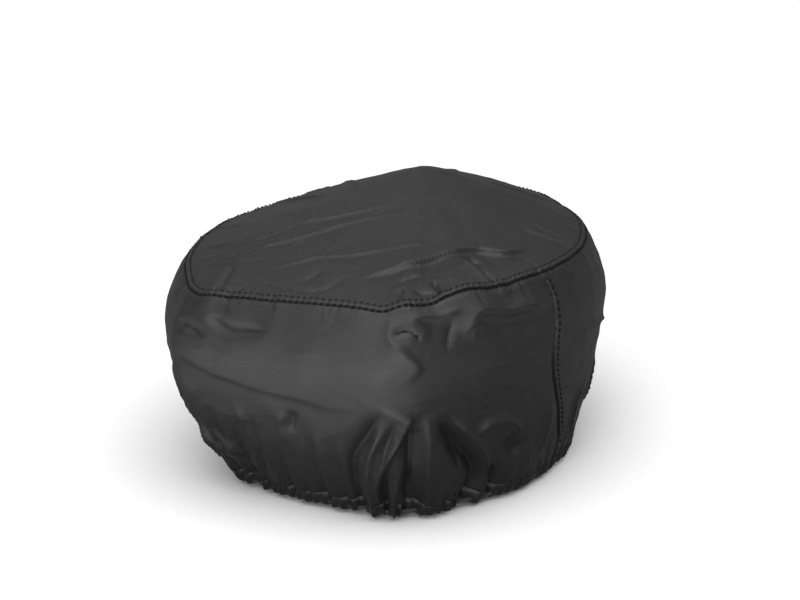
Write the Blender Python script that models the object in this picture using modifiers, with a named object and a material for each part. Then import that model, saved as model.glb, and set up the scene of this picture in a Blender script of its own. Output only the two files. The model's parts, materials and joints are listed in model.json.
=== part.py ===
"""Tail bag under its fitted rain cover, for a motorcycle's passenger seat.

The bag is a moulded shell with a zipped, front-hinged lid. The cover is a top panel and two wall
panels of coated fabric, drawn in at the bottom by an elastic hem. Metres, +Z up, +Y towards the
motorcycle's front, origin on the ground under the middle of the object.
"""

import math

import bmesh
import bpy
from mathutils import Matrix, Vector

# Driving dimensions of the cover, outside
LENGTH = 0.350
WIDTH = 0.290
HEM_Z = 0.0025
BELLY_Z = 0.106
SEAM_Z = 0.148
PEAK_Z = 0.187
PEAK_Y = 0.035
HEM_INSET = 0.030
SEAM_INSET = 0.014
FABRIC = 0.0008

# Radii of the outline's arcs at the belly
REAR_RADIUS = 0.450
REAR_CORNER_RADIUS = 0.056
SIDE_RADIUS = 0.240
FRONT_CORNER_RADIUS = 0.085
FRONT_RADIUS = 0.285
WIDEST_Y = -0.012
SIDE_SEAM_ANGLE = math.radians(-11)
KNOT_TURN = math.radians(7.5)

# The bag
GAP = 0.0003
SHELL = 0.004
LINING = 0.0008
MAT_Z = 0.004
BOARD = 0.0025
BAG_INSET = 0.0115
RIM_Z = 0.0898
LID_RIM_Z = 0.0976
PARTING_Z = (RIM_Z + LID_RIM_Z) / 2
LID_TOP_Z = 0.151
HINGE_HALF_ANGLE = math.radians(14)

# Hardware
STUD_RADIUS = 0.0012
SLIDER_SIZE = Vector((0.013, 0.0034, 0.0082))
PULL_LENGTH = 0.021
PULL_WIDTH = 0.0065
HANDLE_RADIUS = 0.0055
HANDLE_HALF_LENGTH = 0.045
TAB_WIDTH = 0.022
TAB_LENGTH = 0.0165
WEBBING = 0.0012
RING_WIRE = 0.0015
RING_REACH = 0.017
RING_Z = 0.050

REAR, FRONT = -math.pi / 2, math.pi / 2


# ---------------------------------------------------------------- the outline


def touching_centre(end_centre, end_radius, side_centre, side_radius, radius):
    """Centre of the corner arc that lies inside an end arc and a side arc and touches both."""
    along = side_centre - end_centre
    reach_end, reach_side = end_radius - radius, side_radius - radius
    share = (reach_end**2 - reach_side**2 + along.length_squared) / (2 * along.length)
    off = math.sqrt(reach_end**2 - share**2)
    middle = end_centre + along.normalized() * share
    across = Vector((-along.y, along.x)).normalized()
    return max((middle + across * off, middle - across * off), key=lambda point: point.x)


def direction_angle(vector):
    return math.atan2(vector.y, vector.x)


def outline_arcs():
    """The right half of the belly's outline, rear to front: (centre, radius, start, end)."""
    rear = Vector((0, -LENGTH / 2 + REAR_RADIUS))
    front = Vector((0, LENGTH / 2 - FRONT_RADIUS))
    side = Vector((WIDTH / 2 - SIDE_RADIUS, WIDEST_Y))
    rear_corner = touching_centre(rear, REAR_RADIUS, side, SIDE_RADIUS, REAR_CORNER_RADIUS)
    front_corner = touching_centre(front, FRONT_RADIUS, side, SIDE_RADIUS, FRONT_CORNER_RADIUS)
    a = direction_angle(rear_corner - rear)
    b = direction_angle(rear_corner - side)
    c = direction_angle(front_corner - side)
    d = direction_angle(front_corner - front)
    return [
        (rear, REAR_RADIUS, REAR, a),
        (rear_corner, REAR_CORNER_RADIUS, a, b),
        (side, SIDE_RADIUS, b, SIDE_SEAM_ANGLE),
        (side, SIDE_RADIUS, SIDE_SEAM_ANGLE, c),
        (front_corner, FRONT_CORNER_RADIUS, c, d),
        (front, FRONT_RADIUS, d, FRONT),
    ]


ARCS = outline_arcs()


def outline_point(angle, inset):
    """The outline's point whose outward normal has that angle, moved inwards by inset."""
    turned = (angle - REAR) % (2 * math.pi) + REAR
    mirrored = turned > FRONT
    normal = math.pi - turned if mirrored else turned
    centre, radius = next(
        ((arc[0], arc[1]) for arc in ARCS if normal <= arc[3] + 1e-9), (ARCS[-1][0], ARCS[-1][1])
    )
    out = Vector((math.cos(normal), math.sin(normal)))
    point = centre + out * (radius - inset)
    return Vector((-point.x, point.y)) if mirrored else point


def outline_knots():
    """Normal angles round the whole outline, anticlockwise from the rear, without the last."""
    right = []
    for _, _, start, end in ARCS:
        pieces = math.ceil((end - start) / KNOT_TURN)
        right += [start + (end - start) * i / pieces for i in range(pieces)]
    left = [math.pi - angle for angle in reversed(right[1:])]
    return [*right, FRONT, *left]


KNOTS = outline_knots()


def knots_between(start, end):
    """Normal angles from start anticlockwise to end, both included."""
    inner = [
        knot + turn
        for turn in (0, 2 * math.pi)
        for knot in KNOTS
        if start + 1e-3 < knot + turn < end - 1e-3
    ]
    return [start, *inner, end]


def ring(inset, z, angles=None):
    """Points at one height along the outline, moved inwards by inset."""
    return [Vector((*outline_point(angle, inset), z)) for angle in (angles or KNOTS)]


def cover_inset(z):
    """How far the cover's wall stands in from the belly at that height."""
    if z < BELLY_Z:
        return HEM_INSET * ((BELLY_Z - z) / (BELLY_Z - HEM_Z)) ** 1.6
    return SEAM_INSET * ((z - BELLY_Z) / (SEAM_Z - BELLY_Z)) ** 2


# ---------------------------------------------------------------- modelling helpers


def clear_scene():
    for item in list(bpy.data.objects):
        bpy.data.objects.remove(item)


def material(name, colour, roughness, metallic=0.0):
    made = bpy.data.materials.new(name)
    made.use_nodes = True
    shader = made.node_tree.nodes["Principled BSDF"]
    shader.inputs["Base Color"].default_value = (*colour, 1)
    shader.inputs["Roughness"].default_value = roughness
    shader.inputs["Metallic"].default_value = metallic
    return made


def add_object(name, data, surface):
    """Links a new object for that mesh or curve into the part's collection."""
    data.materials.append(surface)
    made = bpy.data.objects.new(name, data)
    PART.objects.link(made)
    return made


def smooth(data, sharp_degrees=35):
    data.shade_smooth()
    data.set_sharp_from_angle(angle=math.radians(sharp_degrees))


def lofted(name, rows, surface, wrap_columns=True, cap_first=False, cap_last=False):
    """A surface through rows of points. Rows anticlockwise and upwards make it face outwards."""
    mesh = bpy.data.meshes.new(name)
    build = bmesh.new()
    grid = [[build.verts.new(point) for point in row] for row in rows]
    count = len(rows[0])
    for low, high in zip(grid, grid[1:]):
        for i in range(count if wrap_columns else count - 1):
            j = (i + 1) % count
            build.faces.new((low[i], low[j], high[j], high[i]))
    if cap_first:
        build.faces.new(reversed(grid[0]))
    if cap_last:
        build.faces.new(grid[-1])
    build.to_mesh(mesh)
    build.free()
    smooth(mesh)
    return add_object(name, mesh, surface)


def thicken(shell, thickness):
    """Gives an open surface its thickness, inwards."""
    solidify = shell.modifiers.new("thickness", "SOLIDIFY")
    solidify.thickness = thickness
    solidify.offset = -1
    solidify.use_even_offset = True
    return shell


def band(name, section, start, end, surface):
    """A closed section of (inset, z) corners, swept along the outline and capped at both ends."""
    rows = [
        [Vector((*outline_point(angle, inset), z)) for inset, z in section]
        for angle in knots_between(start, end)
    ]
    return lofted(name, rows, surface, cap_first=True, cap_last=True)


def wall_strip(name, insets, start, end, thickness, surface):
    """A strip of shell along the outline, through (inset, z) pairs from the bottom up."""
    angles = knots_between(start, end)
    rows = [ring(inset, z, angles) for inset, z in insets]
    return thicken(lofted(name, rows, surface, wrap_columns=False), thickness)


def tube(name, points, radius, surface, closed=False, sides=2):
    """A round cord or rod through the points."""
    curve = bpy.data.curves.new(name, "CURVE")
    curve.dimensions = "3D"
    curve.bevel_depth = radius
    curve.bevel_resolution = sides
    curve.use_fill_caps = True
    spline = curve.splines.new("POLY")
    spline.points.add(len(points) - 1)
    for knot, point in zip(spline.points, points):
        knot.co = (*point, 1)
    spline.use_cyclic_u = closed
    return add_object(name, curve, surface)


def plate(name, outlines, thickness, surface):
    """A flat piece in its own XY plane, thickness evenly each way. Inner outlines are holes."""
    curve = bpy.data.curves.new(name, "CURVE")
    curve.dimensions = "2D"
    curve.fill_mode = "BOTH"
    curve.extrude = thickness / 2
    for outline in outlines:
        spline = curve.splines.new("POLY")
        spline.points.add(len(outline) - 1)
        for knot, point in zip(spline.points, outline):
            knot.co = (*point, 0, 1)
        spline.use_cyclic_u = True
    return add_object(name, curve, surface)


def circle(centre, radius, pieces=12):
    turns = [2 * math.pi * i / pieces for i in range(pieces)]
    return [(centre[0] + radius * math.cos(t), centre[1] + radius * math.sin(t)) for t in turns]


def stadium(length, width, pieces=6):
    """A long oval along Y, centred on the origin."""
    radius, half = width / 2, length / 2 - width / 2
    turns = [math.pi * i / pieces for i in range(pieces + 1)]
    top = [(radius * math.cos(t), half + radius * math.sin(t)) for t in turns]
    return top + [(-x, -y) for x, y in top]


def cylinder(name, radius, depth, surface, pieces=16):
    mesh = bpy.data.meshes.new(name)
    build = bmesh.new()
    bmesh.ops.create_cone(
        build, cap_ends=True, segments=pieces, radius1=radius, radius2=radius, depth=depth
    )
    build.to_mesh(mesh)
    build.free()
    return add_object(name, mesh, surface)


def union(target, other):
    """Joins the other object into the target, and keeps it as a hidden guide."""
    PART.objects.unlink(other)
    GUIDES.objects.link(other)
    other.hide_render = True
    other.display_type = "WIRE"
    join = target.modifiers.new("join", "BOOLEAN")
    join.operation = "UNION"
    join.object = other


# ---------------------------------------------------------------- the rain cover


def cover_wall_rows(angles):
    heights = [0.0165, 0.036, 0.060, 0.084, BELLY_Z, 0.124, 0.137, SEAM_Z - GAP]
    return [ring(cover_inset(z), z, angles) for z in heights]


def cover_top_rows():
    """The top panel, from just above the seam up to the small flat at its peak."""
    peak = Vector((0, PEAK_Y, 0))
    rim = ring(SEAM_INSET, 0)
    rows = [ring(SEAM_INSET, SEAM_Z + GAP)]
    for share in (0.94, 0.80, 0.62, 0.42, 0.22, 0.06):
        rise = (PEAK_Z - SEAM_Z) * (1 - share**1.15)
        rows.append([peak + (point - peak) * share + Vector((0, 0, SEAM_Z + rise)) for point in rim])
    return rows


def make_cover(fabric, tape, rubber):
    split = GAP / 2 / SIDE_RADIUS
    right, left = SIDE_SEAM_ANGLE, math.pi - SIDE_SEAM_ANGLE
    thicken(lofted("cover_top_panel", cover_top_rows(), fabric, cap_last=True), FABRIC)
    for name, start, end in (
        ("cover_front_wall", right + split, left - split),
        ("cover_rear_wall", left + split, right + 2 * math.pi - split),
    ):
        rows = cover_wall_rows(knots_between(start, end))
        thicken(lofted(name, rows, fabric, wrap_columns=False), FABRIC)
    make_cover_tapes(tape, left)
    make_hem(fabric, rubber)


def make_cover_tapes(tape, left_seam):
    """Waterproof tapes glued inside the cover along its seams."""
    width, depth = 0.009, 0.0005
    inside = FABRIC + 2 * GAP
    top_rows = [ring(cover_inset(z) + inside, z) for z in (SEAM_Z - 0.0105, SEAM_Z - 0.0015)]
    thicken(lofted("cover_top_seam_tape", top_rows, tape), depth)
    half = width / SIDE_RADIUS
    heights = [0.020, 0.036, 0.060, 0.084, BELLY_Z, 0.124, 0.131]
    section = [(cover_inset(z) + inside + 3 * GAP, z) for z in heights]
    for word, angle in (("right", SIDE_SEAM_ANGLE), ("left", left_seam)):
        name = f"cover_side_seam_tape_{word}"
        wall_strip(name, section, angle - half, angle + half, depth, tape)


def make_hem(fabric, rubber):
    """The folded channel at the cover's edge, and the elastic cord that runs in it."""
    casing = 0.0008
    outer = HEM_INSET
    fold = [
        (outer + 0.0058, 0.0140),
        (outer + 0.0058, HEM_Z + 0.0022),
        (outer + 0.0040, HEM_Z),
        (outer + 0.0008, HEM_Z),
        (outer - 0.0014, HEM_Z + 0.0020),
        (cover_inset(0.0162), 0.0162),
    ]
    rows = [ring(inset, z) for inset, z in fold]
    thicken(lofted("cover_hem_casing", rows, fabric), casing)
    cord = ring(outer + 0.0024, HEM_Z + 0.0030)
    tube("cover_hem_elastic", cord, 0.0012, rubber, closed=True)


# ---------------------------------------------------------------- the bag


BODY_SECTION = [
    (0.052, MAT_Z + BOARD + 2 * GAP),
    (0.0455, 0.0105),
    (0.040, 0.022),
    (0.0315, 0.045),
    (0.022, 0.068),
    (BAG_INSET, RIM_Z - 0.007),
    (BAG_INSET, RIM_Z),
]
LID_SECTION = [
    (BAG_INSET, LID_RIM_Z),
    (BAG_INSET, 0.118),
    (0.0140, 0.132),
    (0.0205, 0.143),
    (0.033, 0.149),
    (0.046, LID_TOP_Z),
]


def moved_inwards(section, distance, cap):
    """(inset, z) points moved inwards, square to their edges. A flat cap goes on from one end."""
    edges = [Vector((b[1] - a[1], a[0] - b[0])).normalized() for a, b in zip(section, section[1:])]
    before = [Vector((0, 1)) if cap == "first" else edges[0], *edges]
    after = [*edges, Vector((0, -1)) if cap == "last" else edges[-1]]
    return [
        tuple(Vector(point) + (low + high) * distance / (1 + low.dot(high)))
        for point, low, high in zip(section, before, after)
    ]


def make_base(rubber, board):
    mat = [tuple(point.xy) for point in ring(0.056, 0)]
    plate("anti_slip_mat", [mat], MAT_Z, rubber).location.z = MAT_Z / 2
    stiffener = [tuple(point.xy) for point in ring(0.053, 0)]
    plate("base_board", [stiffener], BOARD, board).location.z = MAT_Z + GAP + BOARD / 2


def make_body(shell, lining):
    rows = [ring(inset, z) for inset, z in BODY_SECTION]
    thicken(lofted("body_shell", rows, shell, cap_first=True), SHELL)
    inside = moved_inwards(BODY_SECTION, SHELL + 2 * GAP, "first")
    rows = [ring(inset, z) for inset, z in inside]
    thicken(lofted("body_lining", rows, lining, cap_first=True), LINING)


def make_lid(shell, lining, mesh_fabric, rubber, piping):
    rows = [ring(inset, z) for inset, z in LID_SECTION]
    thicken(lofted("lid_shell", rows, shell, cap_last=True), SHELL)
    inside = moved_inwards(LID_SECTION, SHELL + 2 * GAP, "last")
    rows = [ring(inset, z) for inset, z in inside]
    thicken(lofted("lid_lining", rows, lining, cap_last=True), LINING)
    trim = ring(0.0140 - 0.0018, 0.1315)
    tube("lid_reflective_piping", trim, 0.0013, piping, closed=True, sides=1)
    make_lid_pocket(mesh_fabric, rubber)


def make_lid_pocket(mesh_fabric, rubber):
    """A flat mesh pocket under the lid's rear two thirds, open along its front edge."""
    front_edge, under = 0.030, LID_TOP_Z - SHELL - LINING - 0.0018
    points = [point for point in ring(0.052, 0) if point.y < front_edge]
    points.sort(key=lambda point: math.atan2(point.y - front_edge, point.x))
    edge = points[-1].x, points[0].x
    outline = [tuple(point.xy) for point in points] + [(edge[0], front_edge), (edge[1], front_edge)]
    thickness = 0.0008
    plate("lid_pocket_mesh", [outline], thickness, mesh_fabric).location.z = under
    inner = edge[1] - 0.004
    cord = [(-inner, front_edge + 0.0020, under), (inner, front_edge + 0.0020, under)]
    tube("lid_pocket_elastic", cord, 0.0012, rubber)


def make_hinge_strip(webbing):
    """The fabric strip across the front that the lid folds on."""
    outside = BAG_INSET - 0.0003 - 0.0009
    section = [(outside, z) for z in (PARTING_Z - 0.0095, PARTING_Z, PARTING_Z + 0.0095)]
    half = HINGE_HALF_ANGLE
    wall_strip("lid_hinge_strip", section, FRONT - half, FRONT + half, 0.0009, webbing)


def make_zip_chains(coil):
    """The two halves of the zip, from one side of the hinge strip round the rear to the other."""
    start, end = FRONT + HINGE_HALF_ANGLE + 0.02, FRONT + 2 * math.pi - HINGE_HALF_ANGLE - 0.02
    for name, low, high in (
        ("zip_chain_lower", RIM_Z + GAP, PARTING_Z - GAP / 2),
        ("zip_chain_upper", PARTING_Z + GAP / 2, LID_RIM_Z - GAP),
    ):
        near, far = BAG_INSET, BAG_INSET + SHELL
        section = [(far, low), (near, low), (near, high), (far, high)]
        band(name, section[::-1], start, end, coil)


def place_on_wall(angle, inset, z):
    """A place on the outline, turned so that local -Y points outwards."""
    place = Matrix.Translation(Vector((*outline_point(angle, inset), z)))
    return place @ Matrix.Rotation(angle - REAR, 4, "Z")


def make_zip_slider(side, name, metal):
    """A slider outside the chain, with the stud that its pull hangs on."""
    angle = REAR + side * (SLIDER_SIZE.x / 2 + 0.001) / (REAR_RADIUS - BAG_INSET)
    mesh = bpy.data.meshes.new(name)
    build = bmesh.new()
    bmesh.ops.create_cube(build, size=1)
    bmesh.ops.scale(build, vec=SLIDER_SIZE, verts=build.verts)
    bmesh.ops.bevel(
        build, geom=build.edges[:], offset=0.0009, segments=2, profile=0.5, affect="EDGES"
    )
    build.to_mesh(mesh)
    build.free()
    smooth(mesh)
    slider = add_object(name, mesh, metal)
    outer = BAG_INSET - GAP - SLIDER_SIZE.y
    slider.matrix_world = place_on_wall(angle, outer + SLIDER_SIZE.y / 2, PARTING_Z)
    stud_length = 0.0022
    stud = cylinder(f"{name}_stud", STUD_RADIUS, stud_length, metal)
    stud.matrix_world = place_on_wall(angle, outer, PARTING_Z) @ Matrix.Rotation(FRONT, 4, "X")
    union(slider, stud)
    return angle, outer


def make_zip_pull(name, angle, slider_face, surface):
    """A flat tab that hangs on the slider's stud and swings sideways about it."""
    thickness, below = 0.0012, PULL_LENGTH / 2 - PULL_WIDTH / 2
    body = [(x, y - below) for x, y in stadium(PULL_LENGTH, PULL_WIDTH)]
    hole = circle((0, 0), STUD_RADIUS + 0.0003)
    pull = plate(name, [body, hole], thickness, surface)
    inset = slider_face - GAP - thickness / 2
    pull.matrix_world = place_on_wall(angle, inset, PARTING_Z) @ Matrix.Rotation(FRONT, 4, "X")


def make_zip(coil, metal, pull):
    make_zip_chains(coil)
    for side, word in ((-1, "left"), (1, "right")):
        angle, face = make_zip_slider(side, f"zip_slider_{word}", metal)
        make_zip_pull(f"zip_pull_{word}", angle, face, pull)


def make_handle(rubber, metal):
    """The carry handle: a moulded grip on two riveted plates on the lid."""
    plate_thickness = 0.002
    plate_z = LID_TOP_Z + GAP + plate_thickness / 2
    foot = plate_z + plate_thickness / 2 + GAP + HANDLE_RADIUS
    rise = PEAK_Z - FABRIC - 0.0030 - HANDLE_RADIUS - foot
    steps = 14
    arch = []
    for i in range(steps + 1):
        share = 2 * i / steps - 1
        height = foot + rise * (1 - abs(share) ** 2.2)
        arch.append((0, PEAK_Y + HANDLE_HALF_LENGTH * share, height))
    tube("handle_grip", arch, HANDLE_RADIUS, rubber, sides=2)
    for word, side in (("rear", -1), ("front", 1)):
        centre = PEAK_Y + side * (HANDLE_HALF_LENGTH + 0.004)
        holes = [circle((x, side * 0.008), 0.0016) for x in (-0.006, 0.006)]
        seat = plate(f"handle_plate_{word}", [stadium(0.034, 0.024), *holes], plate_thickness, metal)
        seat.location = (0, centre, plate_z)
        for x, hand in ((-0.006, "left"), (0.006, "right")):
            name = f"handle_rivet_{word}_{hand}"
            make_rivet(name, Vector((x, centre + side * 0.008, plate_z)), plate_thickness, metal)


def make_rivet(name, place, plate_thickness, metal):
    """A rivet with a domed head over the plate and its shank in the plate's hole."""
    shank, head, dome = 0.0013, 0.0030, 0.0014
    low = -plate_thickness / 2
    top = plate_thickness / 2 + GAP
    cap = [(0, top + dome), (head * 0.6, top + dome * 0.8), (head, top)]
    profile = [*cap, (shank, top), (shank, low), (0, low)]
    mesh = bpy.data.meshes.new(name)
    build = bmesh.new()
    corners = [build.verts.new((x, 0, z)) for x, z in profile]
    for a, b in zip(corners, corners[1:]):
        build.edges.new((a, b))
    build.to_mesh(mesh)
    build.free()
    rivet = add_object(name, mesh, metal)
    rivet.location = place
    turn = rivet.modifiers.new("turn", "SCREW")
    turn.steps = turn.render_steps = 12
    turn.use_merge_vertices = True
    turn.merge_threshold = 0.00005


def make_strap_rings(webbing, metal):
    """Four D-rings low on the ends, for the straps that tie the bag down, each on a webbing tab."""
    (low_inset, low_z), (high_inset, high_z) = BODY_SECTION[3:5]
    lean = math.atan2(low_inset - high_inset, high_z - low_z)
    wall_inset = low_inset - (RING_Z - low_z) * math.tan(lean)
    fold = RING_WIRE + GAP + WEBBING
    axis_inset = wall_inset - (fold + GAP) / math.cos(lean)
    for word, middle, spread in (("rear", REAR, 0.135), ("front", FRONT, 0.19)):
        for hand, side in (("left", -1), ("right", 1)):
            angle = middle + side * spread * (1 if middle == REAR else -1)
            place = place_on_wall(angle, axis_inset, RING_Z)
            make_ring_tab(f"strap_tab_{word}_{hand}", place, lean, fold, webbing)
            make_ring(f"strap_ring_{word}_{hand}", place, metal)


def make_ring_tab(name, place, lean, fold, webbing):
    """Webbing folded round the ring's bar, its two layers sewn flat against the leaning wall."""
    turns = [math.radians(105 + 255 * i / 12) for i in range(13)]
    outline = [(fold * math.cos(t), fold * math.sin(t)) for t in turns]
    outline += [(fold, TAB_LENGTH), (fold - 2 * WEBBING, TAB_LENGTH), (fold - 2 * WEBBING, fold * 1.4)]
    tab = plate(name, [outline, circle((0, 0), RING_WIRE + GAP)], TAB_WIDTH, webbing)
    across = Matrix.Rotation(FRONT, 4, "Z") @ Matrix.Rotation(FRONT, 4, "X")
    tab.matrix_world = place @ Matrix.Rotation(lean, 4, "X") @ across


def make_ring(name, place, metal):
    """A D-ring that hangs from its straight bar, which is its hinge axis."""
    half = TAB_WIDTH / 2 + RING_WIRE + 0.0008
    bow = [
        (half * math.cos(math.pi * i / 10), 0, -RING_REACH * math.sin(math.pi * i / 10) ** 0.8)
        for i in range(11)
    ]
    tube(name, bow, RING_WIRE, metal, closed=True).matrix_world = place


# ---------------------------------------------------------------- the object


def main():
    fabric = material("cover_fabric", (0.030, 0.031, 0.033), 0.42)
    tape = material("seam_tape", (0.16, 0.17, 0.18), 0.35)
    rubber = material("black_rubber", (0.022, 0.022, 0.023), 0.7)
    shell = material("shell_fabric", (0.020, 0.021, 0.024), 0.75)
    lining = material("lining_fabric", (0.30, 0.31, 0.33), 0.7)
    mesh_fabric = material("mesh_fabric", (0.05, 0.05, 0.055), 0.8)
    webbing = material("webbing", (0.025, 0.025, 0.027), 0.7)
    board = material("board_plastic", (0.06, 0.06, 0.065), 0.5)
    coil = material("zip_coil", (0.03, 0.03, 0.032), 0.4)
    piping = material("reflective_piping", (0.55, 0.56, 0.58), 0.35)
    metal = material("zip_metal", (0.35, 0.35, 0.37), 0.35, metallic=1.0)
    ring_steel = material("black_steel", (0.03, 0.03, 0.032), 0.35, metallic=1.0)
    make_cover(fabric, tape, rubber)
    make_base(rubber, board)
    make_body(shell, lining)
    make_hinge_strip(webbing)
    make_lid(shell, lining, mesh_fabric, rubber, piping)
    make_zip(coil, metal, rubber)
    make_handle(rubber, metal)
    make_strap_rings(webbing, ring_steel)


clear_scene()
PART = bpy.data.collections.new("tail_bag")
GUIDES = bpy.data.collections.new("guides")
bpy.context.scene.collection.children.link(PART)
bpy.context.scene.collection.children.link(GUIDES)
main()
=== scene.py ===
"""Looks of the tail bag: its creased, gathered rain cover, and the stitched bag inside it."""

import json
import math
import random

import bmesh
import bpy
import numpy as np
from mathutils import Matrix, Vector, bvhtree, geometry, kdtree, noise


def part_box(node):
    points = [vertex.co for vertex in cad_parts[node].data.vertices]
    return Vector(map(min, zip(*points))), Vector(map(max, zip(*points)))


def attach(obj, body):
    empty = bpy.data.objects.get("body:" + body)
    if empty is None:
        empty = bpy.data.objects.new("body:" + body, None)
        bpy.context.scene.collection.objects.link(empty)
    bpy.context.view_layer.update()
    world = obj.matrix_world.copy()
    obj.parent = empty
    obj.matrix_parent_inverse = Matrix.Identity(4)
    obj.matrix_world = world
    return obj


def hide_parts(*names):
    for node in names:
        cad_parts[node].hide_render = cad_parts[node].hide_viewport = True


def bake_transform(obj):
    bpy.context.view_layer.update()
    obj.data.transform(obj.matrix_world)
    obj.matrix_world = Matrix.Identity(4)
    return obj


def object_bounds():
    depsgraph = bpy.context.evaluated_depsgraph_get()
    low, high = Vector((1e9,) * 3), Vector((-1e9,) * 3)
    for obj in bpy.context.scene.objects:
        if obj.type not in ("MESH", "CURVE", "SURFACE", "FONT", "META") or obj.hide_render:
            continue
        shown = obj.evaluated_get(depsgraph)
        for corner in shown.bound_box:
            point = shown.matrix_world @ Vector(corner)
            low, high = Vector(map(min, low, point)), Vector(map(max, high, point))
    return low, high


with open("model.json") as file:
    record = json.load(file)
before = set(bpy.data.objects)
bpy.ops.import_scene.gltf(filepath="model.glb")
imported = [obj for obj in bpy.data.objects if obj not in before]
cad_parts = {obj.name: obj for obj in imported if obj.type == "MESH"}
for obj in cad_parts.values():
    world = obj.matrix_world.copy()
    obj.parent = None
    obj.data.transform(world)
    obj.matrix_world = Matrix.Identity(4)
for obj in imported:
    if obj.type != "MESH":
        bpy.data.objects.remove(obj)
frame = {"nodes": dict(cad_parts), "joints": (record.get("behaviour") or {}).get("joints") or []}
CAD_LOW, CAD_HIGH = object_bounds()

# ---------------------------------------------------------------- sizes

HALF_LENGTH = CAD_HIGH.y
HALF_WIDTH = CAD_HIGH.x - 0.0015
SEAM_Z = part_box("cover_top_panel")[0].z - 0.0015
PEAK = Vector((0.003, 0.038, CAD_HIGH.z + 0.0004))
REAR_RADIUS, REAR_CORNER, SIDE_RADIUS, FRONT_CORNER, FRONT_RADIUS = 0.750, 0.050, 0.220, 0.094, 0.283
WIDEST_Y = -0.013
BELLY_Z = 0.106
SEAM_INSET = 0.014
HEM_TOP_Z = 0.0125
# Along the outline from the rear's middle, in mm: how far the hem is drawn in, in mm, the bend of
# the wall's profile, and how far the top seam sags, in mm.
HEM_INSETS = [
    (-511, 30), (-430, 30), (-350, 28), (-300, 28), (-200, 37), (-156, 54), (-110, 68), (-60, 57), (-20, 43),
    (0, 38), (50, 34), (100, 33), (150, 25), (200, 17), (250, 18), (300, 22), (350, 26), (430, 29),
]
PROFILE_BENDS = [
    (-511, 1.2), (-430, 1.2), (-200, 1.4), (-120, 1.62), (0, 1.4), (150, 1.4), (250, 1.2), (350, 1.15),
    (430, 1.2),
]
SEAM_SAGS = [
    (-511, 0), (-460, 1), (-420, -1), (-360, 0.5), (-300, -1.5), (-240, -2), (-200, -3), (-132, -5),
    (-105, -8), (-67, -7.5), (-58, -6.5), (-31, -4), (0, -2.3), (20, -1), (47, -0.5), (68, -1.5),
    (84, 3.2), (102, 1.0), (112, 1.2), (126, 5.4), (138, 5.4), (163, 0.8), (181, 3.2), (208, 2.8),
    (244, 2.2), (300, 0), (360, 1), (410, -1), (460, 0.5),
]
CLOTH = 0.0005
COLUMNS = 320
STITCH_PITCH = 0.0044
LIP_WIDTH = 0.0034
LIP_DEPTH = 0.0017
GATHER_PITCH = 0.0074
ELASTIC_RADIUS = 0.0012
CLEARANCE = 0.0024
SEAM_GROOVES = {"seam_right": 0.0015, "seam_left": 0.0015, "rim": 0.0009}
HEM_STITCH_Z = 0.0112


# ---------------------------------------------------------------- the cover's outline


def touching_centre(end, end_radius, side, side_radius, radius):
    """Centre of the corner arc that lies inside an end arc and a side arc and touches both."""
    along = side - end
    distance = np.linalg.norm(along)
    reach_end, reach_side = end_radius - radius, side_radius - radius
    share = (reach_end**2 - reach_side**2 + distance**2) / (2 * distance)
    off = math.sqrt(reach_end**2 - share**2)
    across = np.array([-along[1], along[0]]) / distance
    middle = end + along / distance * share
    return max(middle + across * off, middle - across * off, key=lambda point: point[0])


def normal_angle(start, end):
    return math.atan2(end[1] - start[1], end[0] - start[0])


class Outline:
    """A rounded outline, mirrored in X, of arcs that touch: rear, corner, side, corner, front."""

    def __init__(self, half_length, half_width, widest_y, radii):
        rear_radius, rear_corner_radius, side_radius, front_corner_radius, front_radius = radii
        rear = np.array([0, -half_length + rear_radius])
        front = np.array([0, half_length - front_radius])
        side = np.array([half_width - side_radius, widest_y])
        rear_corner = touching_centre(rear, rear_radius, side, side_radius, rear_corner_radius)
        front_corner = touching_centre(front, front_radius, side, side_radius, front_corner_radius)
        ends = [
            -math.pi / 2,
            normal_angle(rear, rear_corner),
            normal_angle(side, rear_corner),
            normal_angle(side, front_corner),
            normal_angle(front, front_corner),
            math.pi / 2,
        ]
        centres = [rear, rear_corner, side, front_corner, front]
        angles = np.unique(np.concatenate([np.linspace(a, b, 200) for a, b in zip(ends, ends[1:])]))
        index = np.clip(np.searchsorted(ends, angles, side="right") - 1, 0, 4)
        normals = np.stack([np.cos(angles), np.sin(angles)], 1)
        points = np.array(centres)[index] + normals * np.array(radii)[index][:, None]
        length = np.concatenate([[0], np.cumsum(np.linalg.norm(np.diff(points, axis=0), axis=1))])
        flip = np.array([-1, 1])
        self.lengths = np.concatenate([-length[:0:-1], length])
        self.points = np.concatenate([points[:0:-1] * flip, points])
        self.normals = np.concatenate([normals[:0:-1] * flip, normals])
        self.round = 2 * length[-1]

    def wrapped(self, along):
        return (np.asarray(along) + self.round / 2) % self.round - self.round / 2

    def normal(self, along):
        along = self.wrapped(along)
        normal = np.stack([np.interp(along, self.lengths, self.normals[:, i]) for i in (0, 1)], -1)
        return normal / np.linalg.norm(normal, axis=-1, keepdims=True)

    def place(self, along, offset):
        """Points at those arc lengths from the rear's middle, moved outwards by the offset."""
        at = self.wrapped(along)
        point = np.stack([np.interp(at, self.lengths, self.points[:, i]) for i in (0, 1)], -1)
        return point + self.normal(along) * np.asarray(offset)[..., None]


COVER = Outline(
    HALF_LENGTH, HALF_WIDTH, WIDEST_Y, (REAR_RADIUS, REAR_CORNER, SIDE_RADIUS, FRONT_CORNER, FRONT_RADIUS)
)
BAG = Outline(HALF_LENGTH, CAD_HIGH.x + 0.0005, -0.012, (0.450, 0.056, 0.240, 0.085, 0.285))
ROUND = COVER.round


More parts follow.
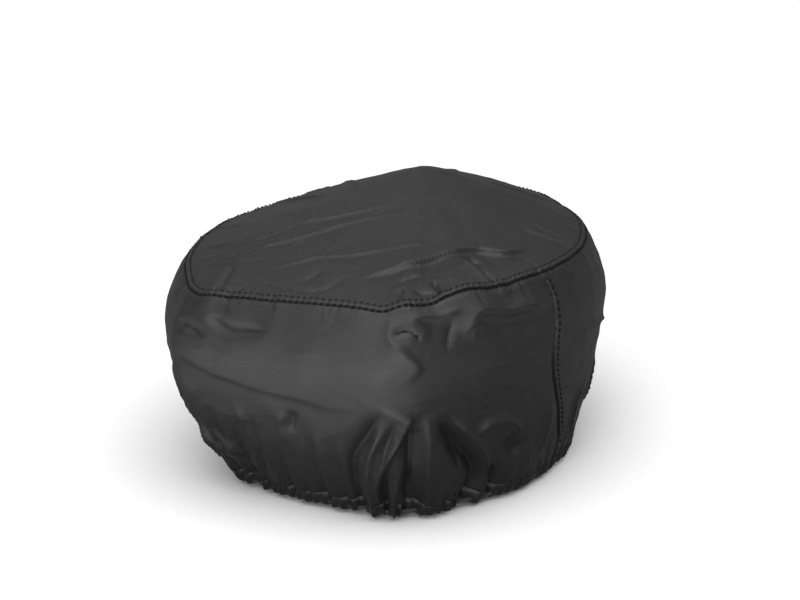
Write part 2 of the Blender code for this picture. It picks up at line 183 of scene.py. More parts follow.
def round_table(rows, width):
    """A smoothed table of values all round the outline, as a function of arc length."""
    rows = np.array(rows, float)
    at = np.linspace(-ROUND / 2, ROUND / 2, 1024, endpoint=False)
    values = np.interp(at, rows[:, 0] / 1000, rows[:, 1], period=ROUND)
    reach = round(width / ROUND * 1024)
    window = np.hanning(2 * reach + 1)
    ringed = np.concatenate([values[-reach:], values, values[:reach]])
    smooth = np.convolve(ringed, window / window.sum(), "valid")
    return lambda along: np.interp(COVER.wrapped(along), at, smooth, period=ROUND)


hem_inset = round_table(HEM_INSETS, 0.05)
profile_bend = round_table(PROFILE_BENDS, 0.05)
seam_sag = round_table(SEAM_SAGS, 0.009)


def wall_offset(along, z):
    """How far the wall stands out from the belly at a place."""
    down = np.clip(1 - z / BELLY_Z, 0, 1)
    bend = profile_bend(along)
    low = -hem_inset(along) / 1000 * (1 - (1 - down**bend) ** (1 / bend))
    rise = np.clip((z - BELLY_Z) / (SEAM_Z - BELLY_Z), 0, 1)
    return np.where(z < BELLY_Z, low, -SEAM_INSET * (1 - np.cos(math.pi / 2 * rise)))


def wall_point(along, z, inwards=0.0):
    """Points of the smooth cover wall, or of a wall that far inside it."""
    along, z = np.broadcast_arrays(np.asarray(along, float), np.asarray(z, float))
    place = COVER.place(along, wall_offset(along, z) - inwards)
    rise = np.clip((z - BELLY_Z) / (SEAM_Z - BELLY_Z), 0, 1)
    return np.concatenate([place, (z + seam_sag(along) / 1000 * rise)[..., None]], -1)


def side_seam(z):
    """Arc length of the right side seam at a height: it wavers as sewn slack cloth does."""
    height = np.array([0, 6, 22, 58, 80, 94, 106, 120, 132, 141, 146]) / 1000
    place = np.array([222, 232, 236, 219, 208, 204, 203, 206, 209, 208, 205]) / 1000
    return np.interp(z, height, place)


# ---------------------------------------------------------------- the cover's folds
# Each fold: shape, width mm, depth mm, (start taper, end taper), then points in mm. On the walls a
# point is (arc length from the rear's middle, height), on the top (x, y). A step's high side is on
# the left of its direction. The shifts and depths suit all of them to the cloth's final outline.

WALL_FOLDS = [
    ("step", 7, 0.8, (0.10, 0.25), [(-100, 103), (-71, 100), (-52, 95), (-16, 88), (10, 86), (48, 82)]),
    ("ridge", 4, 2.0, (0.2, 0.1), [(-91, 98), (-93, 75), (-88, 55), (-72, 33), (-66, 16)]),
    ("valley", 7, 3.0, (0.2, 0.1), [(-103, 92), (-105, 70), (-99, 48), (-86, 24)]),
    ("ridge", 2.5, 1.2, (0.2, 0.2), [(-72, 48), (-54, 36), (-39, 16)]),
    ("ridge", 4, 1.2, (0.3, 0.2), [(-40, 78), (-34, 55), (-30, 30)]),
    ("valley", 3, 1.6, (0.3, 0.4), [(4, 77), (2, 68), (-1, 58)]),
    ("ridge", 3.5, 1.3, (0.3, 0.4), [(-3, 76), (-7, 62), (-5, 45)]),
    ("valley", 5, 3.4, (0.3, 0.05), [(67, 86), (54, 66), (42, 48), (39, 30), (42, 8)]),
    ("ridge", 3, 2.4, (0.3, 0.05), [(68, 76), (56, 54), (51, 34), (51, 6)]),
    ("step", 4, 3.2, (0.3, 0.02), [(58, 4), (57, 24), (66, 44), (77, 63), (84, 80)]),
    ("valley", 5, 2.6, (0.3, 0.05), [(76, 82), (69, 62), (64, 44), (64, 8)]),
    ("valley", 8, 4.0, (0.3, 0.05), [(84, 84), (86, 60), (88, 34), (90, 8)]),
    ("step", 5, 3.0, (0.3, 0.02), [(94, 84), (99, 52), (103, 26), (106, 5)]),
    ("valley", 5.5, 5.0, (0.25, 0.05), [(101, 79), (114, 61), (127, 46), (139, 32), (141, 20), (136, 5)]),
    ("ridge", 3.5, 3.2, (0.3, 0.02), [(111, 77), (129, 59), (141, 44), (148, 28), (149, 5)]),
    ("valley", 3, 2.0, (0.3, 0.3), [(112, 56), (122, 45), (128, 32)]),
    ("valley", 4, 4.4, (0.4, 0.05), [(153, 34), (160, 18), (158, 3)]),
    ("ridge", 3, 2.2, (0.2, 0.2), [(136, 54), (143, 64), (158, 63), (171, 54), (176, 40)]),
    ("valley", 9, 2.4, (0.3, 0.3), [(160, 48), (168, 42), (178, 30)]),
    ("ridge", 6, 1.6, (0.3, 0.3), [(204, 66), (206, 40), (200, 22)]),
    ("ridge", 2, 1.1, (0.3, 0.3), [(212, 14), (197, 6), (189, 3)]),
    ("ridge", 2, 0.9, (0.3, 0.3), [(194, 34), (187, 20)]),
    ("step", 6, 3.2, (0.10, 0.45), [(120, 124), (126, 129), (136, 134), (156, 133), (178, 131), (216, 130)]),
    ("ridge", 2.4, 1.3, (0.3, 0.3), [(131, 120), (129, 126), (137, 129)]),
    ("valley", 5, 1.6, (0.3, 0.3), [(118, 136), (112, 128), (108, 118)]),
    ("valley", 2.6, 3.2, (0.25, 0.25), [(70, 131), (79, 132), (86, 131), (92, 126)]),
    ("step", 3.5, 2.0, (0.2, 0.4), [(92, 108), (82, 118), (75, 124), (65, 131)]),
    ("ridge", 3, 1.8, (0.3, 0.3), [(78, 135), (93, 139), (109, 138), (124, 138)]),
    ("valley", 4, 2.4, (0.2, 0.4), [(-60, 134), (-50, 129), (-40, 126), (-24, 127), (-10, 126)]),
    ("valley", 4, 2.0, (0.3, 0.4), [(-92, 123), (-74, 123), (-56, 118)]),
    ("ridge", 3, 1.3, (0.3, 0.3), [(218, 98), (240, 101), (285, 96), (330, 87)]),
    ("ridge", 2, 1.2, (0.3, 0.3), [(295, 72), (298, 54), (310, 22)]),
    ("ridge", 2, 1.1, (0.3, 0.3), [(271, 64), (256, 48), (258, 26), (268, 10)]),
    ("valley", 6, 1.6, (0.3, 0.3), [(140, 118), (165, 112), (200, 113)]),
    ("ridge", 5, 1.0, (0.3, 0.3), [(120, 108), (150, 104), (196, 108)]),
]
TOP_FOLDS = [
    ("ridge", 2.2, 1.0, (0.2, 0.3), [(-118, -86), (-83, -88), (-60, -81), (-45, -67), (-22, -53), (17, -19)]),
    ("ridge", 2.2, 1.0, (0.2, 0.3), [(-108, -110), (-72, -105), (-41, -92), (-24, -75), (2, -50), (30, -31)]),
    ("ridge", 1.8, 0.7, (0.3, 0.3), [(-80, -119), (-62, -118), (-42, -112)]),
    ("ridge", 2.0, 0.9, (0.3, 0.3), [(-46, -130), (-25, -120), (-9, -108), (14, -101), (50, -78)]),
    (
        "step", 3.6, 2.4, (0.3, 0.25),
        [(24, -134), (41, -119), (55, -104), (68, -82), (80, -61), (97, -50), (104, -22)],
    ),
    ("ridge", 2.4, 1.2, (0.3, 0.3), [(-112, 12), (-72, -7), (-46, -13)]),
    ("ridge", 2.0, 0.9, (0.3, 0.3), [(-94, 26), (-66, 34)]),
    ("ridge", 2.0, 0.6, (0.3, 0.3), [(-126, -40), (-95, -50)]),
    ("ridge", 2.6, 0.9, (0.3, 0.1), [(80, 16), (101, 19), (122, 27)]),
    ("valley", 3.2, 1.2, (0.3, 0.1), [(80, -3), (103, 6), (122, 14)]),
    ("ridge", 2.0, 0.7, (0.3, 0.2), [(86, 52), (112, 57)]),
    ("valley", 3.6, 3.2, (0.2, 0.02), [(78, -74), (86, -74), (92, -81), (100, -86), (112, -96)]),
    ("step", 3.0, 1.6, (0.2, 0.1), [(108, -99), (97, -90), (88, -84), (80, -82)]),
    ("valley", 2.6, 2.2, (0.3, 0.02), [(72, -112), (82, -124), (94, -136)]),
    ("valley", 2.2, 1.2, (0.3, 0.3), [(68, -136), (76, -131), (86, -124)]),
    ("valley", 3.0, 2.0, (0.25, 0.02), [(-64, -121), (-60, -138), (-58, -158)]),
    (
        "valley", 3.2, 1.4, (0.3, 0.3),
        [(-40, -138), (-22, -146), (0, -149), (14, -145), (19, -133), (22, -124)],
    ),
    ("valley", 2.6, 1.0, (0.3, 0.3), [(-6, -141), (2, -122)]),
    ("valley", 2.2, 1.4, (0.3, 0.3), [(56, -130), (64, -113)]),
    ("valley", 2.4, 1.6, (0.3, 0.02), [(60, -132), (67, -154)]),
    ("ridge", 2.4, 0.8, (0.3, 0.3), [(20, -94), (44, -80), (58, -72)]),
    ("ridge", 2.2, 0.8, (0.3, 0.3), [(-20, -20), (-60, 40), (-84, 76)]),
    ("ridge", 2.2, 0.8, (0.3, 0.3), [(6, 60), (2, 100), (8, 132)]),
    ("ridge", 2.6, 0.8, (0.3, 0.3), [(30, 60), (58, 90), (74, 112)]),
    ("ridge", 2.2, 0.7, (0.3, 0.3), [(-30, 66), (-44, 96), (-50, 122)]),
    ("valley", 3.0, 1.2, (0.3, 0.1), [(-92, -10), (-112, -2), (-128, 2)]),
]
WALL_SHIFT, WALL_DEPTH = (2.8, 0), 1.9
TOP_SHIFT, TOP_DEPTH = (2.4, 1.1), 1.7


def smooth_step(x):
    x = np.clip(x, 0, 1)
    return x * x * (3 - 2 * x)


def smooth_path(points, pieces=6):
    """Points on a Catmull-Rom curve through the given ones."""
    points = np.asarray(points, float)
    padded = np.vstack([2 * points[0] - points[1], points, 2 * points[-1] - points[-2]])
    t = np.linspace(0, 1, pieces, endpoint=False)[:, None]
    path = []
    for a, b, c, d in zip(padded, padded[1:], padded[2:], padded[3:]):
        curve = 2 * b + (c - a) * t + (2 * a - 5 * b + 4 * c - d) * t**2
        path.append((curve + (3 * b - a - 3 * c + d) * t**3) / 2)
    return np.vstack([*path, points[-1:]])


def fold_height(at, folds, shift):
    """Displacement in metres that the folds give at those places, which are in metres."""
    height = np.zeros(len(at))
    for shape, width, depth, (taper_in, taper_out), points in folds:
        path, width = (smooth_path(points) + shift) / 1000, width / 1000
        reach = width * 4
        low, high = path.min(0) - reach, path.max(0) + reach
        near = np.flatnonzero(((at > low) & (at < high)).all(1))
        if not len(near):
            continue
        best, side, share = nearest_on_path(at[near], path)
        profile = fold_profile(shape, best / width, side)
        taper = smooth_step(share / taper_in) * smooth_step((1 - share) / taper_out)
        height[near] += depth / 1000 * profile * taper
    return height


def nearest_on_path(at, path):
    """Distance to a path, which side of it (+1 left) and how far along it, for each place."""
    best, side, share = np.full(len(at), 1e9), np.ones(len(at)), np.zeros(len(at))
    steps = np.diff(path, axis=0)
    lengths = np.linalg.norm(steps, axis=1)
    before = np.concatenate([[0], np.cumsum(lengths)])
    for start, step, length, gone in zip(path, steps, lengths, before):
        rel = at - start
        t = np.clip(rel @ step / length**2, 0, 1)
        gap = rel - t[:, None] * step
        distance = np.linalg.norm(gap, axis=1)
        closer = distance < best
        best[closer] = distance[closer]
        side[closer] = np.sign(step[0] * rel[:, 1] - step[1] * rel[:, 0])[closer]
        share[closer] = (gone + t * length)[closer] / before[-1]
    return best, side, share


def fold_profile(shape, away, side):
    if shape == "step":
        return np.where(side > 0, np.exp(-away / 2.2), np.exp(-((away / 0.45) ** 1.4)))
    peak = np.exp(-((away * 1.15) ** 1.15))
    return peak if shape == "ridge" else -peak


def wall_wrinkles():
    """Random small folds of the walls: puckers under the seam, drag lines, and upright wrinkles."""
    dice = random.Random(23)
    made = []
    for _ in range(150):
        along, high = dice.uniform(-511, 511), 147
        low, lean = high - dice.uniform(5, 19), dice.uniform(-6, 6)
        width, depth = dice.uniform(1.2, 2.4), dice.uniform(0.2, 0.6)
        points = [(along, high), (along + lean * 0.4, (high + low) / 2), (along + lean, low)]
        made.append((dice.choice(("ridge", "valley")), width, depth, (0.02, 0.6), points))
    for _ in range(130):
        along, z, length = dice.uniform(-511, 500), dice.uniform(60, 138), dice.uniform(14, 60)
        slope = dice.uniform(-0.14, 0.14) + 0.10
        width, depth = dice.uniform(1.6, 3.8), dice.uniform(0.18, 0.55)
        bow = dice.uniform(-3, 3)
        middle = (along + length / 2, z + slope * length / 2 + bow)
        points = [(along, z), middle, (along + length, z + slope * length)]
        made.append(("ridge", width, depth, (0.4, 0.5), points))
    for along in (-96, -82, -58, -44, -28, -12, 14, 30):
        high, lean = dice.uniform(52, 74), dice.uniform(-5, 9)
        points = [(along, high), (along + lean * 0.4, high * 0.6), (along + lean, 4)]
        made.append(("valley", dice.uniform(3.4, 5.0), dice.uniform(1.4, 2.6), (0.45, 0.05), points))
        points = [(x + 6.5, y) for x, y in points]
        made.append(("ridge", dice.uniform(3.0, 4.2), dice.uniform(1.0, 1.8), (0.45, 0.05), points))
    for i in range(9):
        low, length = 66 + 6.5 * i, dice.uniform(60, 100)
        points = [(112 + 2 * i, low), (112 + length * 0.5, low + 6 + i), (112 + length, low + 14 + i * 0.6)]
        made.append(("ridge", dice.uniform(2.0, 3.2), dice.uniform(0.25, 0.5), (0.4, 0.4), points))
    for _ in range(120):
        along, high = dice.uniform(-511, 511), dice.uniform(26, 84)
        lean = dice.uniform(-0.35, 0.35) * high
        width, depth = dice.uniform(1.8, 4.0), dice.uniform(0.3, 1.0)
        points = [(along, high), (along + lean * 0.3, high * 0.55), (along + lean, 6)]
        made.append((dice.choice(("ridge", "valley", "valley")), width, depth, (0.5, 0.1), points))
    return made


def top_wrinkles():
    """Random small folds of the top: thin ones running up to its tip, and puckers at its rim."""
    dice = random.Random(31)
    made = []
    for _ in range(130):
        turn = dice.uniform(-math.pi, math.pi)
        rim = np.interp(turn, RIM_TURN, RIM_AWAY) * 1000
        puckered = dice.random() < 0.5
        outer = 0.995 if puckered else dice.uniform(0.6, 0.95)
        inner = outer - (dice.uniform(0.05, 0.16) if puckered else dice.uniform(0.15, 0.4))
        bend = dice.uniform(-0.10, 0.10)
        points = []
        for share in (outer, (outer + inner) / 2, inner):
            angle = turn + bend * (outer - share) / (outer - inner)
            across, forward = rim * share * math.cos(angle), rim * share * math.sin(angle)
            points.append((PEAK.x * 1000 + across, PEAK.y * 1000 + forward))
        width = dice.uniform(1.2, 2.2)
        depth = dice.uniform(0.25, 0.65) if puckered else dice.uniform(0.12, 0.34)
        shape = dice.choice(("ridge", "valley")) if puckered else "ridge"
        made.append((shape, width, depth, (0.02, 0.6) if puckered else (0.4, 0.4), points))
    return made


def pleats():
    """Random gathers of the hem: (arc length, width, depth, height, lean, sign)."""
    dice = random.Random(11)
    along, made = -ROUND / 2, []
    while along < ROUND / 2:
        along += dice.uniform(0.0055, 0.0115)
        strength = gather_strength(along)
        sign = dice.choice((-1, -1, 1))
        height = dice.uniform(0.020, 0.062) * (0.6 + 0.5 * strength)
        depth = dice.uniform(0.0014, 0.0040) * strength
        made.append((along, dice.uniform(0.0020, 0.0042), depth, height, dice.uniform(-0.4, 0.4), sign))
    return made


def gather_strength(along):
    """How strongly the hem is gathered: most round the corners."""
    bumps = (
        (0.095, 0.055, 0.85), (-0.040, 0.040, 0.5), (-0.125, 0.050, -0.3), (0.400, 0.060, 0.8),
        (-0.400, 0.060, 0.8), (-0.250, 0.05, 0.4),
    )
    return 0.55 + sum(rise * math.exp(-(((along - at) / width) ** 2)) for at, width, rise in bumps)


PLEATS = pleats()


def gather_height(along, z):
    """Displacement of the walls by the gathers, growing down to the hem."""
    height = np.zeros(len(along))
    for at, width, depth, top, lean, sign in PLEATS:
        away = COVER.wrapped(along - at - lean * z) / width
        near = (np.abs(away) < 3) & (z < top)
        fade = (1 - z[near] / top) ** 1.3
        height[near] += sign * depth * np.exp(-(np.abs(away[near]) ** 1.3)) * fade
    strength = round_strength(along)
    return height + 0.0013 * strength * np.sin(scallop(along)) * np.exp(-((z / 0.013) ** 2))


def scallop(along):
    """Phase of the small, uneven scallops that the elastic pulls the hem into."""
    return 2 * math.pi * along / GATHER_PITCH + 1.7 * np.sin(along * 61)


def round_strength(along):
    at = np.linspace(-ROUND / 2, ROUND / 2, 400)
    return np.interp(along, at, [gather_strength(x) for x in at])


def crumple(points, scale, seed):
    """Crisp random creases, 0 to 1, highest along wandering lines."""
    field = noise_field(points, scale, seed)
    return np.clip(1 - np.abs(field) * 3.2, 0, 1) ** 1.6


def noise_field(points, scale, seed):
    """Smooth noise in -1..1 at each point."""
    shift = Vector((seed * 13.7, seed * 5.1, seed * 9.3))
    return np.array([noise.noise(Vector(p) * scale + shift) for p in points])


# ---------------------------------------------------------------- mesh helpers


def mesh_object(name, vertices, faces):
    mesh = bpy.data.meshes.new(name)
    mesh.from_pydata([tuple(v) for v in vertices], [], [tuple(int(i) for i in f) for f in faces])
    mesh.validate()
    made = bpy.data.objects.new(name, mesh)
    bpy.context.scene.collection.objects.link(made)
    return made


def coordinates(mesh):
    flat = np.zeros(len(mesh.vertices) * 3)
    mesh.vertices.foreach_get("co", flat)
    return flat.reshape(-1, 3)


def vertex_normals(mesh):
    flat = np.zeros(len(mesh.vertices) * 3)
    mesh.vertex_normals.foreach_get("vector", flat)
    return flat.reshape(-1, 3)


def set_coordinates(mesh, points):
    mesh.vertices.foreach_set("co", np.asarray(points, np.float32).ravel())
    mesh.update()


def set_attribute(mesh, name, values, domain="POINT"):
    values = np.asarray(values, np.float32)
    kind = "FLOAT_VECTOR" if values.ndim == 2 else "FLOAT"
    made = mesh.attributes.new(name, kind, domain)
    made.data.foreach_set("vector" if values.ndim == 2 else "value", values.ravel())


def get_attribute(mesh, name, vector=False):
    data = mesh.attributes[name].data
    values = np.zeros(len(data) * (3 if vector else 1), np.float32)
    data.foreach_get("vector" if vector else "value", values)
    return values.reshape(-1, 3) if vector else values


def apply_modifiers(piece):
    graph = bpy.context.evaluated_depsgraph_get()
    mesh = bpy.data.meshes.new_from_object(piece.evaluated_get(graph))
    piece.modifiers.clear()
    piece.data = mesh
    return piece


def thicken(piece, thickness):
    """Gives an open surface its thickness, inwards."""
    solidify = piece.modifiers.new("thickness", "SOLIDIFY")
    solidify.thickness = thickness
    solidify.offset = -1
    return piece


def finish_piece(piece, material, body, replaced=()):
    """Smooth shading, material, body and the CAD nodes that the piece stands for."""
    piece.data.shade_smooth()
    piece.data.materials.clear()
    piece.data.materials.append(material)
    if body:
        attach(piece, body)
    if replaced:
        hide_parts(*replaced)
    return piece


# ---------------------------------------------------------------- materials


class Nodes:
    """A small writer of shader node trees."""

    def __init__(self, name, colour, roughness, **uniform):
        self.material = bpy.data.materials.new(name)
        self.material.use_nodes = True
        self.tree = self.material.node_tree
        self.shader = self.tree.nodes["Principled BSDF"]
        self.shader.inputs["Base Color"].default_value = (*colour, 1)
        self.shader.inputs["Roughness"].default_value = roughness
        for socket, value in uniform.items():
            self.shader.inputs[socket.replace("_", " ")].default_value = value

    def add(self, kind, **inputs):
        node = self.tree.nodes.new(kind)
        for key, value in inputs.items():
            if key in ("operation", "data_type", "attribute_name", "noise_dimensions", "blend_type"):
                setattr(node, key, value)
            else:
                self.link(value, node.inputs[int(key[1:])] if key[0] == "i" else node.inputs[key])
        return node

    def link(self, value, socket):
        if isinstance(value, bpy.types.NodeSocket):
            self.tree.links.new(value, socket)
        else:
            socket.default_value = value

    def math(self, operation, a, b=0.0):
        return self.add("ShaderNodeMath", operation=operation, i0=a, i1=b).outputs[0]

    def place(self, attribute):
        """The surface's own cloth coordinates, or its place in the object."""
        if attribute:
            return self.add("ShaderNodeAttribute", attribute_name=attribute).outputs["Vector"]
        return self.add("ShaderNodeTexCoord").outputs["Object"]

    def noise(self, place, scale, detail=3.0, roughness=0.55):
        node = self.add("ShaderNodeTexNoise", Vector=place, Scale=scale, Detail=detail)
        node.inputs["Roughness"].default_value = roughness
        return node.outputs["Fac"]

    def ramp(self, value, low, high, low_out, high_out):
        node = self.add("ShaderNodeMapRange", Value=value)
        for key, number in (("From Min", low), ("From Max", high), ("To Min", low_out), ("To Max", high_out)):
            node.inputs[key].default_value = number
        return node.outputs[0]

    def mix_colour(self, factor, first, second):
        node = self.tree.nodes.new("ShaderNodeMix")
        node.data_type = "RGBA"
        self.link(factor, node.inputs[0])
        self.link(first if isinstance(first, bpy.types.NodeSocket) else (*first, 1), node.inputs[6])
        self.link(second if isinstance(second, bpy.types.NodeSocket) else (*second, 1), node.inputs[7])
        return node.outputs[2]

    def bump(self, height, distance, strength=1.0, after=None):
        node = self.add("ShaderNodeBump", Height=height, Distance=distance, Strength=strength)
        if after is not None:
            self.link(after, node.inputs["Normal"])
        return node.outputs["Normal"]

    def mottle(self, scale, detail, dark, bright):
        """Two colours mixed by noise."""
        return self.mix_colour(self.noise(self.place(None), scale, detail), dark, bright)

    def vary(self, scale, detail, low, high, until=0.7):
        """A number that wanders between two values."""
        return self.ramp(self.noise(self.place(None), scale, detail), 0.3, until, low, high)

    def grain(self, scale, detail, distance, strength, after=None):
        """A normal roughened by noise."""
        return self.bump(self.noise(self.place(None), scale, detail), distance, strength, after)

    def waves(self, value, pitch):
        return self.math("SINE", self.math("MULTIPLY", value, 2 * math.pi / pitch))

    def done(self, colour=None, roughness=None, normal=None):
        """Links what is given to the shader and returns the material."""
        for key, value in (("Base Color", colour), ("Roughness", roughness), ("Normal", normal)):
            if value is not None:
                self.link(value, self.shader.inputs[key])
        return self.material

    def weave(self, place, warp, weft):
        """Height of a plain weave, with those thread spacings in metres."""
        parts = self.add("ShaderNodeSeparateXYZ", i0=place).outputs
        return self.math("MULTIPLY", self.waves(parts[0], warp), self.waves(parts[1], weft))


def cover_material():
    """Thin coated taffeta: fine ribs, faint streaks of yarn, soft sheen, and light specks of painted glint.
    """
    colour, sheen = (0.012, 0.0122, 0.013), {"Sheen_Weight": 0.02, "Sheen_Roughness": 0.4}
    n = Nodes("cover_fabric", colour, 0.40, Specular_IOR_Level=0.42, **sheen)
    cloth, place = n.place("cloth"), n.place(None)
    weave = n.weave(cloth, 0.0013, 0.0011)
    streaks = n.add("ShaderNodeVectorMath", operation="MULTIPLY", i0=cloth, i1=(60.0, 900.0, 60.0)).outputs[0]
    blotch, yarn = n.noise(place, 22.0, 4.0), n.noise(streaks, 1.0, 2.0)
    tone = n.mix_colour(n.ramp(blotch, 0.3, 0.7, 0, 1), (0.0105, 0.0107, 0.0115), (0.0150, 0.0153, 0.0160))
    tone = n.mix_colour(n.ramp(yarn, 0.35, 0.7, 0, 0.7), tone, (0.020, 0.0203, 0.021))
    # Painted glints: light specks in the base colour stand in for the weave's tiny highlights.
    tone = n.mix_colour(n.ramp(n.noise(place, 620.0, 2.0), 0.5, 0.75, 0, 0.6), tone, (0.030, 0.0305, 0.031))
    tone = n.mix_colour(n.ramp(weave, -1, 1, 0, 0.25), tone, (0.005, 0.005, 0.0055))
    micro = n.bump(n.noise(place, 190.0, 3.0, 0.5), 0.00040, 0.25)
    return n.done(tone, n.vary(70.0, 3.0, 0.36, 0.45), n.bump(weave, 0.00012, 0.6, micro))


def thread_material(name, colour):
    n = Nodes(name, colour, 0.75, Specular_IOR_Level=0.2)
    return n.done(normal=n.grain(2400.0, 2.0, 0.0001, 0.6))


def tape_material():
    """Milky waterproof tape, ironed on: faint ripples and a dull shine."""
    n = Nodes("seam_tape", (0.16, 0.165, 0.17), 0.35, Specular_IOR_Level=0.5)
    tone = n.mottle(90.0, 3.0, (0.12, 0.125, 0.13), (0.20, 0.205, 0.21))
    return n.done(tone, n.vary(180.0, 3.0, 0.28, 0.46), n.grain(420.0, 3.0, 0.0002, 0.5))


# ---------------------------------------------------------------- the cover's base shape


def profile_rows(low, high, count):
    """Heights from low to high, evenly spaced along the wall's curved profile."""
    z = np.linspace(low, high, 400)
    steps = np.hypot(np.diff(z), np.diff(wall_offset(np.full(400, 0.1), z)))
    length = np.concatenate([[0], np.cumsum(steps)])
    return np.interp(np.linspace(0, length[-1], count), length, z)


def column_lengths(z):
    """Arc length of every column at a height. Two columns follow the side seams."""
    base = -ROUND / 2 + ROUND * np.arange(COLUMNS) / COLUMNS
    seam = base[SEAM_RIGHT]
    pull = side_seam(z) - seam
    right = np.exp(-(((base - seam) / 0.028) ** 2))
    left = np.exp(-(((base - base[SEAM_LEFT]) / 0.028) ** 2))
    return base + pull * (right - left)


SEAM_RIGHT = round((0.206 + ROUND / 2) / ROUND * COLUMNS)
SEAM_LEFT = COLUMNS - SEAM_RIGHT
TAPE_COLUMNS = 3
TAPE_HEIGHT = 0.0105
WALL_ROWS = profile_rows(HEM_TOP_Z, SEAM_Z, 46)


def top_height(x, y):
    """The top panel: nearly straight slopes up to a blunt tip over the carry handle."""
    dx, dy = x - PEAK.x, y - PEAK.y
    away = np.hypot(dx, dy)
    turn = np.arctan2(dy, dx)
    rim = np.interp(turn, RIM_TURN, RIM_AWAY)
    share = np.clip(away / rim, 0, 1)
    sag = np.interp(turn, RIM_TURN, RIM_SAG)
    return SEAM_Z + sag * share**3 + (PEAK.z - SEAM_Z) * (1 - (share**2 + 0.0012) ** 0.58)


def rim_tables():
    """Round the peak: the direction, the distance and the sag of the top panel's rim."""
    along = np.linspace(-ROUND / 2, ROUND / 2, 721)[:-1]
    rim = COVER.place(along, np.full(720, -SEAM_INSET)) - np.array(PEAK[:2])
    turn = np.arctan2(rim[:, 1], rim[:, 0])
    order = np.argsort(turn)
    turns = np.concatenate([turn[order] - 2 * math.pi, turn[order], turn[order] + 2 * math.pi])
    return turns, np.tile(np.hypot(*rim.T)[order], 3), np.tile(seam_sag(along)[order] / 1000, 3)


RIM_TURN, RIM_AWAY, RIM_SAG = rim_tables()


def base_cover():
    """The whole cover above its hem as one mesh, with its pieces and seams marked."""
    points, marks = [], []
    for z in WALL_ROWS:
        along = column_lengths(z)
        points.append(wall_point(along, z))
        turn = 2 * math.pi * along / ROUND
        marks.append(np.column_stack([np.cos(turn), np.sin(turn), np.full(COLUMNS, z)]))
    rows = len(WALL_ROWS)
    faces, kinds, tapes = [], [], []
    for row in range(rows - 1):
        for column in range(COLUMNS):
            after = (column + 1) % COLUMNS
            a, b = row * COLUMNS, (row + 1) * COLUMNS
            faces.append((a + column, a + after, b + after, b + column))
            kinds.append(1 if SEAM_LEFT <= column < SEAM_RIGHT else 2)
            taped = [abs(column + 0.5 - seam) < TAPE_COLUMNS for seam in (SEAM_RIGHT, SEAM_LEFT)]
            low, high = WALL_ROWS[row], WALL_ROWS[row + 1]
            if low > SEAM_Z - TAPE_HEIGHT:
                tapes.append(3)
            elif any(taped) and low > 0.018 and high < SEAM_Z - 0.013:
                tapes.append(1 if taped[0] else 2)
            else:
                tapes.append(0)
    rim_start = (rows - 1) * COLUMNS
    inner, triangles = top_triangles(points[-1][:, :2])
    heights = top_height(inner[:, 0], inner[:, 1])
    points.append(np.column_stack([inner, heights]))
    marks.append(np.column_stack([inner, np.full(len(inner), -1.0)]))
    for triangle in triangles:
        faces.append(tuple(rim_start + i for i in triangle))
        kinds.append(0)
        tapes.append(0)
    cover = mesh_object("cover_cloth", np.vstack(points), faces)
    count = len(cover.data.vertices)
    index = np.arange(count)
    wall = index < rows * COLUMNS
    set_attribute(cover.data, "mark", np.vstack(marks))
    set_attribute(cover.data, "rim", ((index >= rim_start) & wall).astype(float))
    set_attribute(cover.data, "hem", (index < COLUMNS).astype(float))
    for name, column in (("seam_right", SEAM_RIGHT), ("seam_left", SEAM_LEFT)):
        set_attribute(cover.data, name, (wall & (index % COLUMNS == column)).astype(float))
    set_attribute(cover.data, "kind", kinds, "FACE")
    set_attribute(cover.data, "tape", tapes, "FACE")
    return cover


def top_triangles(rim):
    """Even triangles inside the rim: the added points, and faces over rim points then added ones."""
    pitch = ROUND / COLUMNS
    low, high = rim.min(0), rim.max(0)
    grid = []
    y, row = low[1], 0
    while y < high[1]:
        for x in np.arange(low[0] + (row % 2) * pitch / 2, high[0], pitch):
            grid.append((x, y))
        y += pitch * math.sqrt(3) / 2
        row += 1
    grid = np.array(grid)
    turn = np.arctan2(grid[:, 1] - PEAK.y, grid[:, 0] - PEAK.x)
    reach = np.interp(turn, RIM_TURN, RIM_AWAY)
    grid = grid[np.hypot(grid[:, 0] - PEAK.x, grid[:, 1] - PEAK.y) < reach - pitch * 0.75]
    every = [Vector(p) for p in np.vstack([rim, grid])]
    edges = [(i, (i + 1) % len(rim)) for i in range(len(rim))]
    found = geometry.delaunay_2d_cdt(every, edges, [], 1, 1e-7)
    assert len(found[0]) == len(every)
    origin = [ids[0] for ids in found[3]]
    return grid, [tuple(origin[i] for i in face) for face in found[2]]


